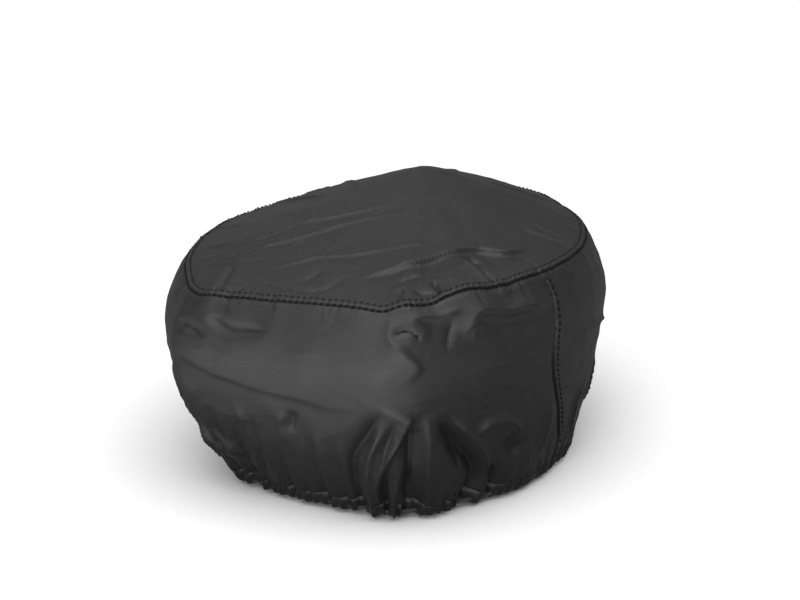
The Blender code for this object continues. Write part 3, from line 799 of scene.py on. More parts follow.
def displace_cover(cover):
    """Moves the cloth along its normals by its folds, gathers, crumples and seam puckers."""
    mesh = cover.data
    mark, normals, points = get_attribute(mesh, "mark", True), vertex_normals(mesh), coordinates(mesh)
    wall = mark[:, 2] > 0
    along = np.arctan2(mark[:, 1], mark[:, 0]) / (2 * math.pi) * ROUND
    z = mark[:, 2]
    move = np.zeros(len(points))
    place = np.column_stack([along, z])
    move[wall] += fold_height(place[wall], WALL_FOLDS, WALL_SHIFT) * WALL_DEPTH
    move[wall] += fold_height(place[wall], wall_wrinkles(), (0, 0))
    move[wall] += gather_height(along[wall], z[wall])
    top = ~wall
    move[top] += fold_height(points[top][:, :2], TOP_FOLDS, TOP_SHIFT) * TOP_DEPTH
    move[top] += fold_height(points[top][:, :2], top_wrinkles(), (0, 0))
    broad = noise_field(points, 17, 1) * 0.0011 + noise_field(points, 46, 2) * 0.00045
    fine = noise_field(points * np.array([1, 1, 0.5]), 120, 3) * 0.00014
    fine += crumple(points, 20, 4) * 0.00050 + crumple(points, 47, 5) * 0.00016
    rim_gap = np.abs(points[:, 2] - SEAM_Z)
    move += (broad + fine) * (0.35 + 0.65 * smooth_step(rim_gap / 0.02))
    pucker = np.sin(2 * math.pi * along / STITCH_PITCH)
    near_seam = np.where(wall, np.exp(-(((SEAM_Z - z) / 0.0035) ** 2)), 0)
    move += 0.00022 * pucker * near_seam
    for name, depth in SEAM_GROOVES.items():
        move -= depth * smooth_step(get_attribute(mesh, name))
    set_coordinates(mesh, points + normals * move[:, None])


def swept_places(name):
    """Its rest, and the turns that take a node to both limits of each hinge that carries it."""
    turns = [Matrix()]
    for joint in frame["joints"]:
        if joint["type"] == "hinge" and joint["child"] != "lid" and moved_by(joint, name):
            for degrees in joint["range_deg"]:
                centre = Matrix.Translation(Vector(joint["pos_m"]))
                turn = Matrix.Rotation(math.radians(degrees), 4, Vector(joint["axis"]))
                turns.append(centre @ turn @ centre.inverted())
    return turns


def moved_by(joint, name):
    """Whether a joint carries a node: its own child, or the pull that hangs from its slider."""
    return name == joint["child"] or name == joint["child"].replace("slider", "pull")


def surface_tree(placed):
    """One tree of the faces of objects, each at a place."""
    corners, faces = [], []
    for name, place in placed:
        mesh, start = bpy.data.objects[name].data, len(corners)
        corners += [tuple(place @ v.co) for v in mesh.vertices]
        faces += [tuple(start + i for i in p.vertices) for p in mesh.polygons]
    return bvhtree.BVHTree.FromPolygons(corners, faces)


def keep_clear(cover, nodes, gap):
    """Lifts the cloth off hard parts that would touch it, with soft slopes round them."""
    mesh = cover.data
    points, normals = coordinates(mesh), vertex_normals(mesh)
    tree = surface_tree([(name, place) for name in nodes for place in swept_places(name)])
    reach, slope = 0.03, 0.012
    lift = np.zeros(len(points))
    for i, (point, normal) in enumerate(zip(points, normals)):
        hit = tree.ray_cast(Vector(point + normal * reach), Vector(-normal), reach + gap)
        if hit[0] is not None:
            lift[i] = reach + gap - hit[3]
    raised = np.flatnonzero(lift > 0)
    if len(raised):
        near = kdtree.KDTree(len(raised))
        for i in raised:
            near.insert(Vector(points[i]), int(i))
        near.balance()
        spread = lift.copy()
        for i, point in enumerate(points):
            for _, j, distance in near.find_range(Vector(point), slope):
                spread[i] = max(spread[i], lift[j] * (1 - (distance / slope) ** 2) ** 2)
        lift = spread
    set_coordinates(mesh, points + normals * lift[:, None])


def cut_piece(cover, name, kind, attribute="kind", depth=0.0, thick=CLOTH):
    """The faces with that mark as their own mesh, that deep in the cloth, with cloth coordinates."""
    mesh = cover.data
    kinds = np.round(get_attribute(mesh, attribute)).astype(int)
    points, mark = coordinates(mesh), get_attribute(mesh, "mark", True)
    points = points - vertex_normals(mesh) * depth
    polygons = [tuple(p.vertices) for p, k in zip(mesh.polygons, kinds) if k == kind]
    used = np.unique(np.concatenate([np.array(p) for p in polygons]))
    fresh = {int(old): new for new, old in enumerate(used)}
    piece = mesh_object(name, points[used], [[fresh[i] for i in p] for p in polygons])
    mark = mark[used]
    if kind == 0:
        cloth = np.column_stack([points[used][:, :2], np.zeros(len(used))])
    else:
        along = np.arctan2(mark[:, 1], mark[:, 0]) / (2 * math.pi) * ROUND
        if kind == 2:
            along = along % ROUND
        cloth = np.column_stack([along, mark[:, 2], np.zeros(len(used))])
    set_attribute(piece.data, "cloth", cloth)
    return thicken(piece, thick)


def marked_loop(cover, attribute, by):
    """Positions and normals of the marked seam's points, sorted along it."""
    mesh = cover.data
    on = np.flatnonzero(get_attribute(mesh, attribute) > 0.999)
    mark = get_attribute(mesh, "mark", True)[on]
    points, normals = coordinates(mesh)[on], vertex_normals(mesh)[on]
    key = np.arctan2(mark[:, 1], mark[:, 0]) / (2 * math.pi) * ROUND if by == "along" else mark[:, 2]
    order = np.argsort(key)
    return key[order], points[order], normals[order]


def resample(points, normals, pitch, closed):
    """Evenly spaced points and normals along a line."""
    if closed:
        points, normals = np.vstack([points, points[:1]]), np.vstack([normals, normals[:1]])
    length = np.concatenate([[0], np.cumsum(np.linalg.norm(np.diff(points, axis=0), axis=1))])
    count = max(2, round(length[-1] / pitch))
    at = np.linspace(0, length[-1], count, endpoint=not closed)
    place = np.stack([np.interp(at, length, points[:, i]) for i in range(3)], 1)
    normal = np.stack([np.interp(at, length, normals[:, i]) for i in range(3)], 1)
    return place, normal / np.linalg.norm(normal, axis=1, keepdims=True)


def tangents(points, closed):
    step = np.roll(points, -1, 0) - np.roll(points, 1, 0) if closed else np.gradient(points, axis=0)
    return step / np.linalg.norm(step, axis=1, keepdims=True)


def ring_mesh(name, rings, closed):
    """A mesh through rings of points: a closed loop, or a bar with flat ends."""
    count, size = rings.shape[:2]
    faces = []
    for i in range(count if closed else count - 1):
        a, b = i * size, ((i + 1) % count) * size
        faces += [(a + j, a + (j + 1) % size, b + (j + 1) % size, b + j) for j in range(size)]
    if not closed:
        faces += [tuple(range(size))[::-1], tuple((count - 1) * size + j for j in range(size))]
    return mesh_object(name, rings.reshape(-1, 3), faces)


def tube(name, path, radius, closed):
    """A round cord along a level path."""
    up = np.tile([0, 0, 1.0], (len(path), 1))
    side = np.cross(tangents(path, closed), up)
    turns = 2 * math.pi * np.arange(8) / 8
    rings = np.stack([path + radius * (math.cos(t) * side + math.sin(t) * up) for t in turns], 1)
    return ring_mesh(name, rings, closed)


def ribbon(name, points, across, normals, width, thickness, puff, closed):
    """A flat sewn lip along a line, puffed up between its stitches."""
    section = [(0, 0), (0, 0.55), (0.08, 0.92), (0.3, 1.0), (0.7, 0.9), (0.93, 0.65), (1, 0.25), (1, 0)]
    rings = []
    for share, height in section:
        rise = height * (thickness + puff)
        rings.append(points + across * (share * width) + normals * np.asarray(rise)[:, None])
    return ring_mesh(name, np.stack(rings, 1), closed)


def stitch_row(name, points, directions, normals, length, radius):
    """Short threads lying along a line, each diving into the cloth at both ends, as one mesh."""
    sides, stations = 6, 5
    turns = 2 * math.pi * np.arange(sides) / sides
    vertices, faces = [], []
    for point, direction, normal in zip(points, directions, normals):
        side = np.cross(direction, normal)
        start = len(vertices)
        for j in range(stations):
            share = j / (stations - 1)
            middle = point + direction * (share - 0.5) * length
            middle = middle + normal * radius * (1.0 * math.sin(math.pi * share) - 0.35)
            size = radius * (0.45 + 0.55 * math.sin(math.pi * share))
            vertices += [middle + size * (math.cos(t) * side + math.sin(t) * normal) for t in turns]
        for j in range(stations - 1):
            a, b = start + j * sides, start + (j + 1) * sides
            faces += [(a + k, b + k, b + (k + 1) % sides, a + (k + 1) % sides) for k in range(sides)]
        faces.append(tuple(start + k for k in range(sides)))
        faces.append(tuple(start + (stations - 1) * sides + k for k in range(sides))[::-1])
    return mesh_object(name, vertices, faces)


# ---------------------------------------------------------------- making the cover


HARD_NODES = [
    name
    for name in frame["nodes"]
    if name.startswith(("strap_ring", "zip_slider", "zip_pull", "handle_", "strap_tab"))
] + ["bag_body", "bag_lid", "bag_lid_piping"]


def make_cover():
    cloth = cover_material()
    # The cover's thread is black and made darker than the cloth, as painted shade for the shadowed stitch
    # holes along the seams.
    thread = thread_material("cover_thread_with_painted_shade", (0.003, 0.003, 0.003))
    cover = base_cover()
    subdivide = cover.modifiers.new("finer", "SUBSURF")
    subdivide.levels = subdivide.render_levels = 1
    apply_modifiers(cover)
    displace_cover(cover)
    keep_clear(cover, HARD_NODES, CLEARANCE)
    top, rear, front = (
        finish_piece(cut_piece(cover, name, kind), cloth, "rain_cover", [node])
        for kind, (name, node) in enumerate(
            (
                ("cover_top", "cover_top_panel"),
                ("cover_rear", "cover_rear_wall"),
                ("cover_front", "cover_front_wall"),
            )
        )
    )
    make_top_seam(cover, cloth, thread)
    make_side_seams(cover, cloth, thread)
    make_hem(cover, cloth, thread)
    make_tapes(cover)
    bpy.data.objects.remove(cover)


def make_top_seam(cover, cloth, thread):
    """The felled seam round the top: a puffed lip between two rows of stitches."""
    _, points, normals = marked_loop(cover, "rim", "along")
    points, _ = resample(points, normals, STITCH_PITCH / 6, True)
    points = smooth_loop(points)
    along = tangents(points, True)
    inward = np.array([[PEAK.x, PEAK.y, SEAM_Z + 0.012]]) - points
    inward -= along * (inward * along).sum(1, keepdims=True)
    across = inward / np.linalg.norm(inward, axis=1, keepdims=True)
    across[:, 2] += 0.42
    across /= np.linalg.norm(across, axis=1, keepdims=True)
    up = np.cross(along, across)
    up *= np.sign(up[:, 2:3])
    puff = 0.00014 * np.cos(2 * math.pi * np.arange(len(points)) / 6) - 0.0001
    edge = points - up * 0.0003 + across * 0.0005
    lip = ribbon("cover_top_lip", edge, across, up, LIP_WIDTH, LIP_DEPTH, puff, True)
    set_attribute(lip.data, "cloth", coordinates(lip.data))
    finish_piece(lip, cloth, "rain_cover")
    every = slice(3, None, 6)
    lower = points[every] - across[every] * 0.0002 + up[every] * 0.0006
    slant = (up - across)[every] / 1.414
    row = stitch_row("cover_top_stitches_lower", lower, along[every], slant, 0.0029, 0.00045)
    finish_piece(row, thread, "rain_cover")
    upper = points[every] + across[every] * (LIP_WIDTH + 0.0006) + up[every] * 0.0011
    row = stitch_row("cover_top_stitches_upper", upper, along[every], up[every], 0.0024, 0.00036)
    finish_piece(row, thread, "rain_cover")


def smooth_loop(points, passes=3):
    for _ in range(passes):
        points = (np.roll(points, 1, 0) + 2 * points + np.roll(points, -1, 0)) / 4
    return points


def make_side_seams(cover, cloth, thread):
    """Each side seam: a lip folded towards the front, with one row of stitches behind it."""
    for word, side in (("right", 1), ("left", -1)):
        _, points, normals = marked_loop(cover, f"seam_{word}", "height")
        keep = points[:, 2] < SEAM_Z - 0.0025
        points, normals = resample(points[keep], normals[keep], STITCH_PITCH / 4, False)
        along = tangents(points, False)
        across = np.cross(along, normals) * (-1 if side > 0 else 1)
        across *= np.sign(across[:, 1:2])
        puff = 0.00018 * np.cos(2 * math.pi * np.arange(len(points)) / 4)
        edge = points + across * 0.0007 + normals * 0.0001
        lip = ribbon(f"cover_side_lip_{word}", edge, across, normals, LIP_WIDTH, LIP_DEPTH, puff, False)
        set_attribute(lip.data, "cloth", coordinates(lip.data))
        finish_piece(lip, cloth, "rain_cover")
        every = slice(2, None, 4)
        places = points[every] + across[every] * 0.0046 + normals[every] * 0.0016
        name = f"cover_side_stitches_{word}"
        row = stitch_row(name, places, along[every], normals[every], 0.0028, 0.00042)
        finish_piece(row, thread, "rain_cover")


def make_hem(cover, cloth, thread):
    """The gathered channel: the wall's edge carried down, round the elastic and up inside."""
    along, points, _ = marked_loop(cover, "hem", "along")
    out = np.column_stack([COVER.normal(along), np.zeros(len(along))])
    dice = random.Random(5)
    phase, strength = scallop(along), round_strength(along)
    wave = np.sin(phase)
    jitters = [dice.uniform(-1, 1) for _ in range(140)]
    jitter = np.interp(along, np.linspace(-ROUND / 2, ROUND / 2, len(jitters)), jitters)
    rows = [points]
    path = [
        (-0.0005, 0.0098, 0.0004),
        (-0.0014, 0.0070, 0.0010),
        (-0.0030, 0.0044, 0.0014),
        (-0.0050, 0.0030, 0.0013),
        (-0.0074, 0.0028, 0.0009),
        (-0.0094, 0.0044, 0.0005),
        (-0.0104, 0.0072, 0.0004),
        (-0.0107, 0.0130, 0.0003),
    ]
    for inset, z, amount in path:
        move = inset + amount * (wave * strength + 0.5 * jitter)
        row = points + out * move[:, None]
        row[:, 2] = z + amount * 0.5 * strength * np.cos(phase * 0.5 + 1.0)
        rows.append(row)
    count = len(points)
    faces = []
    for r in range(len(rows) - 1):
        for c in range(count):
            d = (c + 1) % count
            a, b = r * count, (r + 1) * count
            faces.append((a + d, a + c, b + c, b + d))
    hem = mesh_object("cover_hem", np.vstack(rows), faces)
    lengths = [np.column_stack([along, np.full(count, r * 0.003), np.zeros(count)]) for r in range(len(rows))]
    set_attribute(hem.data, "cloth", np.vstack(lengths))
    thicken(hem, CLOTH)
    finish_piece(hem, cloth, "rain_cover", ["cover_hem_casing"])
    line = points + out * (0.0004 * (wave * strength))[:, None]
    line[:, 2] = HEM_STITCH_Z
    line, normals = resample(line, out, STITCH_PITCH, True)
    row = stitch_row("cover_hem_stitches", line, tangents(line, True), normals, 0.0024, 0.00022)
    finish_piece(row, thread, "rain_cover")


def make_tapes(cover):
    """Waterproof tapes glued behind the seams."""
    tape = tape_material()
    for name, kind, node in (
        ("cover_top_tape", 3, "cover_top_seam_tape"),
        ("cover_side_tape_right", 1, "cover_side_seam_tape_right"),
        ("cover_side_tape_left", 2, "cover_side_seam_tape_left"),
    ):
        band = cut_piece(cover, name, kind, "tape", 0.0008, 0.0003)
        finish_piece(band, tape, "rain_cover", [node])


# ---------------------------------------------------------------- the bag inside

RIM_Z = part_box("body_shell")[1].z
LID_RIM_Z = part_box("lid_shell")[0].z
LID_TOP_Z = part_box("lid_shell")[1].z
BAG_INSET = 0.0115
WALL = 0.0034
BODY_SECTION = [
    (0.0560, 0.0073), (0.0490, 0.0078), (0.0455, 0.0108), (0.040, 0.022), (0.0315, 0.045),
    (0.022, 0.068), (0.0125, RIM_Z - 0.009), (BAG_INSET, RIM_Z),
]
LID_SECTION = [
    (BAG_INSET, LID_RIM_Z), (BAG_INSET, 0.118), (0.0140, 0.132), (0.0205, 0.143), (0.033, 0.149),
    (0.046, LID_TOP_Z),
]
ZIP_SHARE = 0.452
ZIP_MIDDLE = (RIM_Z + LID_RIM_Z) / 2
POCKET_GAP = 0.0022
COVER_GAP = 0.0045
LINING_DEPTH = 0.0048
SIDE_SEAM_SHARE = 0.201


def bag_point(share, inset, z, gap=COVER_GAP):
    """Points of the bag's wall that share of the way round, kept well inside the cover."""
    share, z = np.broadcast_arrays(np.asarray(share, float), np.asarray(z, float))
    normal = BAG.normal(share * BAG.round)
    place = BAG.place(share * BAG.round, np.full(share.shape, -inset))
    along = share * ROUND
    rise = np.clip((z - BELLY_Z) / (SEAM_Z - BELLY_Z), 0, 1)
    level = np.clip(z - seam_sag(along) / 1000 * rise, 0, SEAM_Z)
    limit = wall_point(along, level, gap)[..., :2]
    over = np.clip(((place - limit) * normal).sum(-1), 0, None)
    place = place - normal * over[..., None]
    height = np.minimum(z, top_height(place[..., 0], place[..., 1]) - gap)
    return np.concatenate([place, height[..., None]], -1)


def cup(name, section, thickness, rough, gap=COVER_GAP, columns=240):
    """A soft bowl or dome: rows round the bag through a section, closed over its innermost row."""
    section = smooth_path(section, 4)
    down = section[0][0] > section[-1][0]
    if not down:
        section = section[::-1]
    shares = np.arange(columns) / columns - 0.5
    rows = [bag_point(shares, inset, z, gap) for inset, z in section[::-1]]
    last = rows[-1]
    middle = last.mean(0)
    rows += [middle + (last - middle) * share for share in (0.86, 0.7, 0.52, 0.34, 0.16)]
    vertices = np.vstack([*rows, middle[None]])
    faces = []
    for r in range(len(rows) - 1):
        for c in range(columns):
            d = (c + 1) % columns
            quad = (r * columns + c, r * columns + d, (r + 1) * columns + d, (r + 1) * columns + c)
            faces.append(quad[::-1] if down else quad)
    start, tip = (len(rows) - 1) * columns, len(vertices) - 1
    for c in range(columns):
        triangle = (start + c, start + (c + 1) % columns, tip)
        faces.append(triangle[::-1] if down else triangle)
    made = mesh_object(name, vertices, faces)
    points, normals = coordinates(made.data), vertex_normals(made.data)
    soft = noise_field(points, 14, 7) + 0.5 * noise_field(points, 40, 8)
    rim = smooth_step(np.abs(points[:, 2] - rows[0][0, 2]) / 0.008)
    set_coordinates(made.data, points + normals * (soft * rough * rim)[:, None])
    return thicken(made, thickness)


def swept(name, section, shares, closed):
    """A closed section of (inset, z) corners swept round the bag."""
    rings = np.stack([bag_point(shares, inset, z) for inset, z in section], 1)
    return ring_mesh(name, rings, closed)


def rounded(centre, radius, sides=10):
    turns = 2 * math.pi * np.arange(sides) / sides
    return [(centre[0] + radius * math.cos(t), centre[1] + radius * math.sin(t)) for t in turns]


def bag_line(shares, inset, z):
    """A line on the bag, with its directions and outward normals."""
    points = bag_point(shares, inset, z)
    directions = tangents(points, False)
    normal = np.column_stack([BAG.normal(shares * BAG.round), np.zeros(len(points))])
    return points, directions, normal


def make_bag():
    shell, thread = shell_material(), thread_material("bag_thread", (0.02, 0.02, 0.021))
    coil, tape = coil_material(), webbing_material("zip_tape", (0.012, 0.012, 0.013), 0.0012)
    make_shells(shell, lining_material())
    ring = np.arange(480) / 480 - 0.5
    piping = swept("bag_lid_piping", rounded((0.0122, 0.1315), 0.0013), ring, True)
    finish_piece(piping, reflective_material(), "lid", ["lid_reflective_piping"])
    foot = swept("bag_foot_piping", rounded((0.0440, 0.0118), 0.0016), ring, True)
    finish_piece(foot, shell, "bag_body")
    for word, body_name, low, high in (
        ("lower", "bag_body", RIM_Z - 0.0045, RIM_Z + 0.0001),
        ("upper", "lid", LID_RIM_Z - 0.0001, LID_RIM_Z + 0.0045),
    ):
        outer, inside, middle = BAG_INSET - 0.0009, BAG_INSET + 0.0012, (low + high) / 2
        corner = outer + 0.0003
        section = [(inside, low), (corner, low), (outer, middle), (corner, high), (inside, high)]
        finish_piece(swept(f"bag_binding_{word}", section, ring, True), tape, body_name)
        points, directions, normals = bag_line(np.arange(210) / 210 - 0.5, outer - 0.0001, middle)
        row = stitch_row(f"bag_binding_stitches_{word}", points, directions, normals, 0.0030, 0.00035)
        finish_piece(row, thread, body_name)
        make_zip_half(word, body_name, tape, coil)
    make_hinge(webbing_material("hinge_webbing", (0.016, 0.016, 0.017), 0.0016))
    make_pocket()
    for word, share in (("right", SIDE_SEAM_SHARE), ("left", -SIDE_SEAM_SHARE)):
        make_bag_seam("body", "bag_body", word, share, BODY_SECTION, (0.014, RIM_Z - 0.0055), shell, thread)
        make_bag_seam("lid", "lid", word, share, LID_SECTION, (LID_RIM_Z + 0.0055, 0.128), shell, thread)


def make_shells(shell, lining):
    """The bowl and the lid, each with its own lining a little way inside it."""
    for body_name, name, lining_name, section, rough, lining_rough, flat, area in (
        ("bag_body", "bag_body", "bag_lining", BODY_SECTION, 0.0006, 0.0005, (0.45, 0.50), 0.150),
        ("lid", "bag_lid", "bag_lid_lining", LID_SECTION, 0.0005, 0.0004, (0.36, 0.42), 0.105),
    ):
        node = "body" if body_name == "bag_body" else "lid"
        outside = cup(name, section, WALL, rough)
        finish_piece(outside, shell, body_name, [f"{node}_shell"])
        inner = [(inset + LINING_DEPTH, z + lining_rise(node, i)) for i, (inset, z) in enumerate(section)]
        piece = cup(lining_name, inner, 0.0007, lining_rough, COVER_GAP + LINING_DEPTH)
        finish_piece(piece, lining, body_name, [f"{node}_lining"])


def lining_rise(node, i):
    """The bowl's lining is raised over its floor, and the lid's lowered under its crown."""
    if node == "body":
        return LINING_DEPTH if i < 3 else 0
    return -LINING_DEPTH if i > 2 else 0


def make_bag_seam(part, body_name, word, share, section, span, shell, thread):
    """An upright seam on the bag's side: its folded lip and one row of stitches."""
    count = 60
    heights = np.linspace(*span, count)
    insets = np.interp(heights, [z for _, z in section], [inset for inset, _ in section])
    points = np.array([bag_point(share, inset, z) for inset, z in zip(insets, heights)])
    normals = np.tile([*BAG.normal(share * BAG.round), 0.0], (count, 1))
    directions = tangents(points, False)
    across = np.cross(normals, directions) * math.copysign(1, share)
    lip = ribbon(f"bag_{part}_lip_{word}", points, across, normals, 0.0032, 0.0008, np.zeros(count), False)
    finish_piece(lip, shell, body_name)
    every = slice(1, None, 3)
    where = points[every] - across[every] * 0.0015 + normals[every] * 0.0007
    name = f"bag_{part}_stitches_{word}"
    row = stitch_row(name, where, directions[every], normals[every], 0.0026, 0.00036)
    finish_piece(row, thread, body_name)


def make_zip_half(word, body_name, tape, coil):
    """One half of the zip: its woven tape and the coil along the tape's edge."""
    sign = -1 if word == "lower" else 1
    outer, inside = BAG_INSET + 0.0006, BAG_INSET + 0.0016
    rim = RIM_Z if word == "lower" else LID_RIM_Z
    low, high = sorted((rim + sign * 0.003, ZIP_MIDDLE + sign * 0.0011))
    section = [(inside, low), (outer, low), (outer, high), (inside, high)]
    band = swept(f"zip_tape_{word}", section, np.linspace(-ZIP_SHARE, ZIP_SHARE, 420), False)
    finish_piece(band, tape, body_name)
    shares = np.linspace(-ZIP_SHARE, ZIP_SHARE, 560)
    points, _, normals = bag_line(shares, BAG_INSET + 0.0004, ZIP_MIDDLE + sign * 0.00105)
    up = np.tile([0, 0, 1.0], (len(points), 1))
    teeth = stitch_row(f"zip_coil_{word}", points, up, normals, 0.0020, 0.00062)
    finish_piece(teeth, coil, body_name, [f"zip_chain_{word}"])


def make_hinge(webbing):
    """The strip that the lid folds on, sewn to both halves at the front."""
    low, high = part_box("lid_hinge_strip")[0].z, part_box("lid_hinge_strip")[1].z
    middle, half = (low + high) / 2, 0.5 - ZIP_SHARE - 0.0065
    shares = 0.5 + np.linspace(-half, half, 60)
    heights = np.linspace(low, high, 25)
    outer = BAG_INSET - 0.0013 - 0.0005 * np.cos(np.linspace(-1, 1, 25) * math.pi / 2)
    rows = [bag_point(shares, inset, z) for inset, z in zip(outer, heights)]
    count = len(shares)
    faces = [
        (r * count + c, r * count + c + 1, (r + 1) * count + c + 1, (r + 1) * count + c)
        for r in range(24)
        for c in range(count - 1)
    ]
    strip = mesh_object("lid_hinge_fabric", np.vstack(rows), faces)
    apply_modifiers(thicken(strip, 0.0009))
    finish_piece(strip, webbing, None, ["lid_hinge_strip"])
    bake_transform(strip)


def make_pocket():
    """A mesh pocket under the lid, sagging a little, with elastic along its open edge."""
    low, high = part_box("lid_pocket_mesh")
    edge, level = high.y, (low.z + high.z) / 2
    rim = BAG.place(np.linspace(-0.5, 0.5, 241)[:-1] * BAG.round, np.full(240, -0.054))
    tree = surface_tree([("bag_lid_lining", Matrix())])
    columns, rows = 72, 60
    vertices, faces = [], []
    for r in range(rows):
        y = low.y + 0.002 + (edge - low.y - 0.002) * r / (rows - 1)
        ys = np.abs(rim[:, 1] - y)
        right = rim[(rim[:, 0] > 0)][np.argmin(ys[rim[:, 0] > 0])][0]
        for c in range(columns):
            u = c / (columns - 1) * 2 - 1
            x = right * u
            sag = 0.0035 * (1 - u * u) * math.sin(math.pi * min(1, (r + 3) / rows)) ** 0.5
            ruffle = 0.0006 * math.sin(c * 1.7) * max(0, (r - rows + 12) / 12)
            hit = tree.ray_cast(Vector((x, y, LID_RIM_Z - 0.01)), Vector((0, 0, 1)))
            ceiling = hit[0].z - POCKET_GAP if hit[0] is not None else level
            vertices.append((x, y, min(level - sag + ruffle, ceiling)))
    for r in range(rows - 1):
        for c in range(columns - 1):
            a = r * columns + c
            faces.append((a, a + columns, a + columns + 1, a + 1))
    net = mesh_object("lid_pocket_net", vertices, faces)
    thicken(net, 0.0006)
    finish_piece(net, net_material(), "lid", ["lid_pocket_mesh"])
    path = np.array(vertices[-columns:]) + np.array([0, 0.0008, 0])
    cord = tube("lid_pocket_edge", path, 0.0013, False)
    rubber = webbing_material("pocket_elastic", (0.03, 0.03, 0.032), 0.0014)
    finish_piece(cord, rubber, "lid", ["lid_pocket_elastic"])


def make_base():
    """The ribbed mat that the bag stands on, and the stiff board above it."""
    shares = np.arange(360) / 360 - 0.5
    for name, node, inset, low, high, material, slot in (
        ("foot_mat", "anti_slip_mat", 0.0575, 0.0, 0.0040, mat_material(), "anti_slip_rubber"),
        ("foot_board", "base_board", 0.0550, 0.0043, 0.0068, board_material(), "board_plastic"),
    ):
        outer = base_ring(shares, inset, low)
        middle = outer.mean(0)
        inner = [0.001, 0.4, 0.75, 0.985]
        edge = [(share, low) for share in inner] + [(1, low + 0.0006)]
        edge += [(1, high - 0.0006)] + [(share, high) for share in reversed(inner)]
        rings = []
        for share, z in edge:
            ring = middle + (outer - middle) * share
            ring[:, 2] = z
            rings.append(ring)
        rings = np.stack(rings, 1)
        count, size = rings.shape[:2]
        faces = []
        for i in range(count):
            a, b = i * size, ((i + 1) % count) * size
            faces += [(a + j, b + j, b + j + 1, a + j + 1) for j in range(size - 1)]
        faces.append(tuple(i * size for i in range(count))[::-1])
        faces.append(tuple(i * size + size - 1 for i in range(count)))
        piece = mesh_object(name, rings.reshape(-1, 3), faces)
        fix_normals(piece.data)
        finish_piece(piece, material, "bag_body", [node])


def base_ring(shares, inset, z):
    """The mat's outline: rounder than the bag's where the hem is drawn far in."""
    place = BAG.place(shares * BAG.round, np.full(len(shares), -inset))
    normal = BAG.normal(shares * BAG.round)
    limit = wall_point(shares * ROUND, 0.003, 0.0135)[:, :2]
    over = np.clip(((place - limit) * normal).sum(-1), 0, None)
    place = place - normal * over[:, None]
    return np.column_stack([place, np.full(len(place), z)])


def fix_normals(mesh):
    build = bmesh.new()
    build.from_mesh(mesh)
    bmesh.ops.recalc_face_normals(build, faces=build.faces)
    build.to_mesh(mesh)
    build.free()


def make_elastic():
    """The elastic cord inside the gathered hem."""
    along = np.linspace(-ROUND / 2, ROUND / 2, 481)[:-1]
    path = wall_point(along, HEM_TOP_Z, 0.0052)
    path[:, 2] = 0.0062
    cord = tube("cover_hem_cord", path, ELASTIC_RADIUS, True)
    rubber = webbing_material("hem_elastic", (0.03, 0.03, 0.031), 0.0012)
    finish_piece(cord, rubber, "rain_cover", ["cover_hem_elastic"])


# ---------------------------------------------------------------- the bag's materials


def shell_material():
    """Coarse nylon with a rubbery back: thick basket weave, slubs, and painted shade in the weave's valleys.
    """
    n = Nodes("shell_fabric", (0.020, 0.020, 0.021), 0.72, Specular_IOR_Level=0.35, Sheen_Weight=0.08)
    parts = n.add("ShaderNodeSeparateXYZ", i0=n.place(None)).outputs
    across = n.math("ADD", parts[0], parts[1])
    weave = n.math("MULTIPLY", n.waves(across, 0.0022), n.waves(parts[2], 0.0016))
    tone = n.mottle(60.0, 4.0, (0.013, 0.013, 0.014), (0.026, 0.026, 0.027))
    # Painted shade: the colour darkens towards the weave's valleys, where the bump is lowest.
    tone = n.mix_colour(n.ramp(weave, -1, 1, 0.35, 0), tone, (0.006, 0.006, 0.006))
    fine = n.grain(900.0, 3.0, 0.0002, 0.4)
    return n.done(tone, n.vary(40.0, 3.0, 0.62, 0.80), n.bump(weave, 0.0003, 0.7, fine))


def lining_material():
    n = Nodes("lining_fabric", (0.16, 0.165, 0.17), 0.6, Sheen_Weight=0.15)
    tone = n.mottle(30.0, 4.0, (0.12, 0.124, 0.13), (0.19, 0.195, 0.20))
    weave, slack = n.weave(n.place(None), 0.0009, 0.0008), n.grain(130.0, 4.0, 0.0008, 0.5)
    return n.done(tone, normal=n.bump(weave, 0.0001, 0.5, slack))


def webbing_material(name, colour, rib):
    """Woven tape: close ribs and a soft shine."""
    n = Nodes(name, colour, 0.62, Sheen_Weight=0.12)
    parts = n.add("ShaderNodeSeparateXYZ", i0=n.place(None)).outputs
    ribs = n.waves(n.math("ADD", parts[0], parts[1]), rib)
    height = n.math("ADD", ribs, n.math("MULTIPLY", ribs, n.waves(parts[2], rib * 0.7)))
    bright = tuple(c * 1.7 for c in colour)
    return n.done(n.mottle(200.0, 3.0, colour, bright), normal=n.bump(height, 0.0002, 0.6))


def coil_material():
    n = Nodes("zip_coil", (0.014, 0.014, 0.015), 0.32, Specular_IOR_Level=0.5)
    return n.done(roughness=n.vary(300.0, 2.0, 0.25, 0.42), normal=n.grain(1500.0, 2.0, 0.00005, 0.5))


def reflective_material():
    """Silver-grey reflective tape: tiny glass beads that glint."""
    n = Nodes("reflective_piping", (0.30, 0.31, 0.32), 0.35, Metallic=0.4)
    tone = n.mottle(160.0, 4.0, (0.22, 0.225, 0.23), (0.38, 0.39, 0.40))
    return n.done(tone, normal=n.grain(2600.0, 1.0, 0.0001, 0.6))


def net_material():
    n = Nodes("pocket_mesh", (0.02, 0.02, 0.021), 0.7, Sheen_Weight=0.1)
    holes = n.weave(n.place(None), 0.0042, 0.0042)
    # Painted shade: the net's holes are coloured near-black, as the shadowed gap seen through each opening.
    tone = n.mix_colour(n.ramp(holes, 0.2, 0.6, 0, 1), (0.035, 0.035, 0.037), (0.006, 0.006, 0.006))
    return n.done(tone, normal=n.bump(n.ramp(holes, 0.1, 0.7, 1, 0), 0.0006, 0.9))


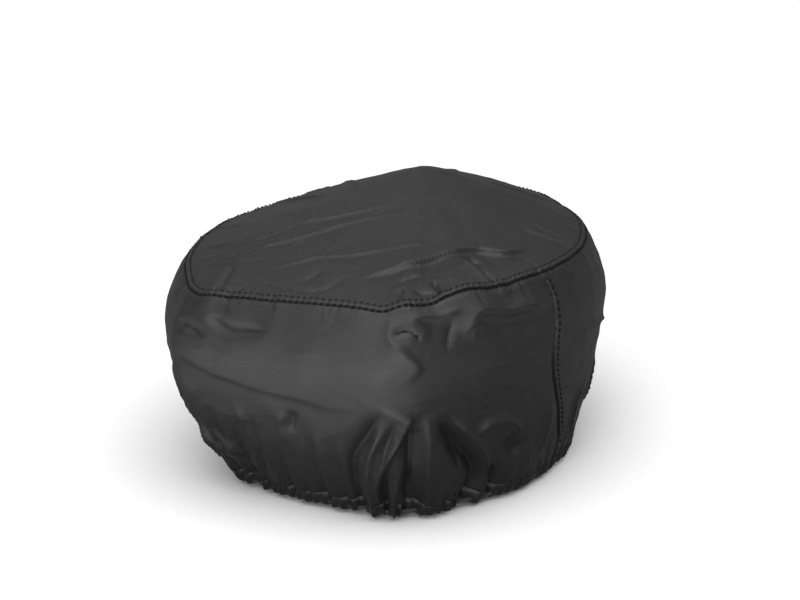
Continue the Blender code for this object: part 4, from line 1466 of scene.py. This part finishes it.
def mat_material():
    """Black rubber with a fine grid of grip squares and lighter patches at random."""
    n = Nodes("anti_slip_rubber", (0.016, 0.016, 0.016), 0.85, Specular_IOR_Level=0.3)
    grid = n.weave(n.place(None), 0.008, 0.008)
    tone = n.mottle(50.0, 5.0, (0.010, 0.010, 0.010), (0.030, 0.030, 0.029))
    pebbles = n.grain(700.0, 3.0, 0.0002, 0.5)
    return n.done(tone, normal=n.bump(n.ramp(grid, -0.3, 0.3, 0, 1), 0.0008, 0.9, pebbles))


def board_material():
    n = Nodes("board_plastic", (0.03, 0.03, 0.03), 0.5)
    return n.done(roughness=n.vary(90.0, 4.0, 0.42, 0.6), normal=n.grain(1100.0, 2.0, 0.0001, 0.5))


def rubber_material(name, colour, roughness, grain):
    """Moulded rubber or plastic with a fine pebbled grain and lighter patches at random."""
    n = Nodes(name, colour, roughness, Specular_IOR_Level=0.4)
    tone = n.mottle(120.0, 4.0, colour, tuple(c * 1.6 for c in colour))
    rough = n.vary(260.0, 3.0, roughness - 0.1, roughness + 0.1)
    return n.done(tone, rough, n.grain(grain, 2.0, 0.0002, 0.6))


def metal_material(name, colour, roughness):
    """Plated metal with faint brushing and small scuffs."""
    n = Nodes(name, colour, roughness, Metallic=1.0)
    tone = n.mottle(240.0, 5.0, tuple(c * 0.7 for c in colour), colour)
    dull = n.vary(500.0, 4.0, roughness - 0.08, roughness + 0.16, 0.75)
    return n.done(tone, dull, n.grain(900.0, 3.0, 0.00005, 0.4))


def dress_nodes():
    """Better materials for the CAD nodes that stay."""
    webbing = webbing_material("webbing", (0.016, 0.016, 0.017), 0.0018)
    steel = metal_material("ring_steel", (0.42, 0.42, 0.43), 0.30)
    dressed = {
        "strap_tab": webbing,
        "strap_ring": steel,
        "zip_slider": metal_material("zip_metal", (0.20, 0.20, 0.21), 0.34),
        "zip_pull": rubber_material("pull_rubber", (0.02, 0.02, 0.021), 0.6, 1400.0),
        "handle_grip": rubber_material("grip_rubber", (0.017, 0.017, 0.018), 0.62, 1100.0),
        "handle_plate": rubber_material("handle_plate", (0.022, 0.022, 0.023), 0.48, 1700.0),
        "handle_rivet": metal_material("rivet_metal", (0.35, 0.35, 0.36), 0.28),
    }
    for node in frame["nodes"]:
        for start, material in dressed.items():
            if node.startswith(start):
                for slot in bpy.data.objects[node].material_slots:
                    slot.material = material


# ---------------------------------------------------------------- camera, floor and light


FLOOR = 60.0
MIDDLE = Vector((0, 0, 0.08))


def make_camera():
    """A long lens, a little above the top, looking at the rear's right corner."""
    azimuth, elevation, distance = math.radians(24.8), math.radians(18), 1.342
    level = math.cos(elevation)
    back = Vector((math.sin(azimuth) * level, -math.cos(azimuth) * level, math.sin(elevation)))
    data = bpy.data.cameras.new("camera")
    data.lens = 86.4
    data.sensor_width = 36
    data.shift_x, data.shift_y = 0.0022, 0.0325
    camera = bpy.data.objects.new("camera", data)
    bpy.context.scene.collection.objects.link(camera)
    camera.location = MIDDLE + back * distance
    camera.rotation_mode = "QUATERNION"
    camera.rotation_quaternion = (-back).to_track_quat("-Z", "Y")
    bpy.context.scene.camera = camera


def make_floor():
    """A wide white table, which the cloth doesn't mirror: it would brighten every grazing edge."""
    corners = [(-FLOOR, -FLOOR, 0), (FLOOR, -FLOOR, 0), (FLOOR, FLOOR, 0), (-FLOOR, FLOOR, 0)]
    floor = mesh_object("floor", corners, [(0, 1, 2, 3)])
    n = Nodes("floor", (0.93, 0.93, 0.93), 0.9, Specular_IOR_Level=0.1)
    floor.data.materials.append(n.material)
    floor.visible_glossy = floor.visible_diffuse = False


def area_light(name, place, target, size, power):
    data = bpy.data.lights.new(name, "AREA")
    data.shape = "RECTANGLE"
    data.size, data.size_y = size
    data.energy = power
    add_light(name, data, place, target)


def add_light(name, data, place, target):
    light = bpy.data.objects.new(name, data)
    bpy.context.scene.collection.objects.link(light)
    light.location = place
    light.visible_camera = False
    light.rotation_mode = "QUATERNION"
    light.rotation_quaternion = (Vector(target) - Vector(place)).to_track_quat("-Z", "Y")


def make_light():
    """A broad light above that whitens the table, a softbox by the camera, and two low white cards."""
    world = bpy.data.worlds.new("studio")
    world.use_nodes = True
    world.node_tree.nodes["Background"].inputs["Color"].default_value = (1, 1, 1, 1)
    world.node_tree.nodes["Background"].inputs["Strength"].default_value = 0.17
    bpy.context.scene.world = world
    bpy.context.scene.view_settings.view_transform = "Standard"
    data = bpy.data.lights.new("above", "SUN")
    data.energy, data.angle = 3.1, math.radians(80)
    add_light("above", data, (0.25, -0.5, 2), (0, 0, 0))
    area_light("softbox", (0.30, -1.72, 0.52), MIDDLE, (0.8, 0.5), 10)
    area_light("behind", (-0.90, 1.25, 1.05), (0, 0, 0.15), (1.2, 0.7), 0.8)
    area_light("rear_card", (0.0, -0.56, 0.004), (0.0, -0.56, 1.0), (1.2, 0.62), 6.0)
    area_light("side_card", (0.56, 0.05, 0.004), (0.56, 0.05, 1.0), (0.6, 0.9), 0.45)


make_camera()
make_floor()
make_light()
make_bag()
make_base()
dress_nodes()
make_cover()
make_elastic()
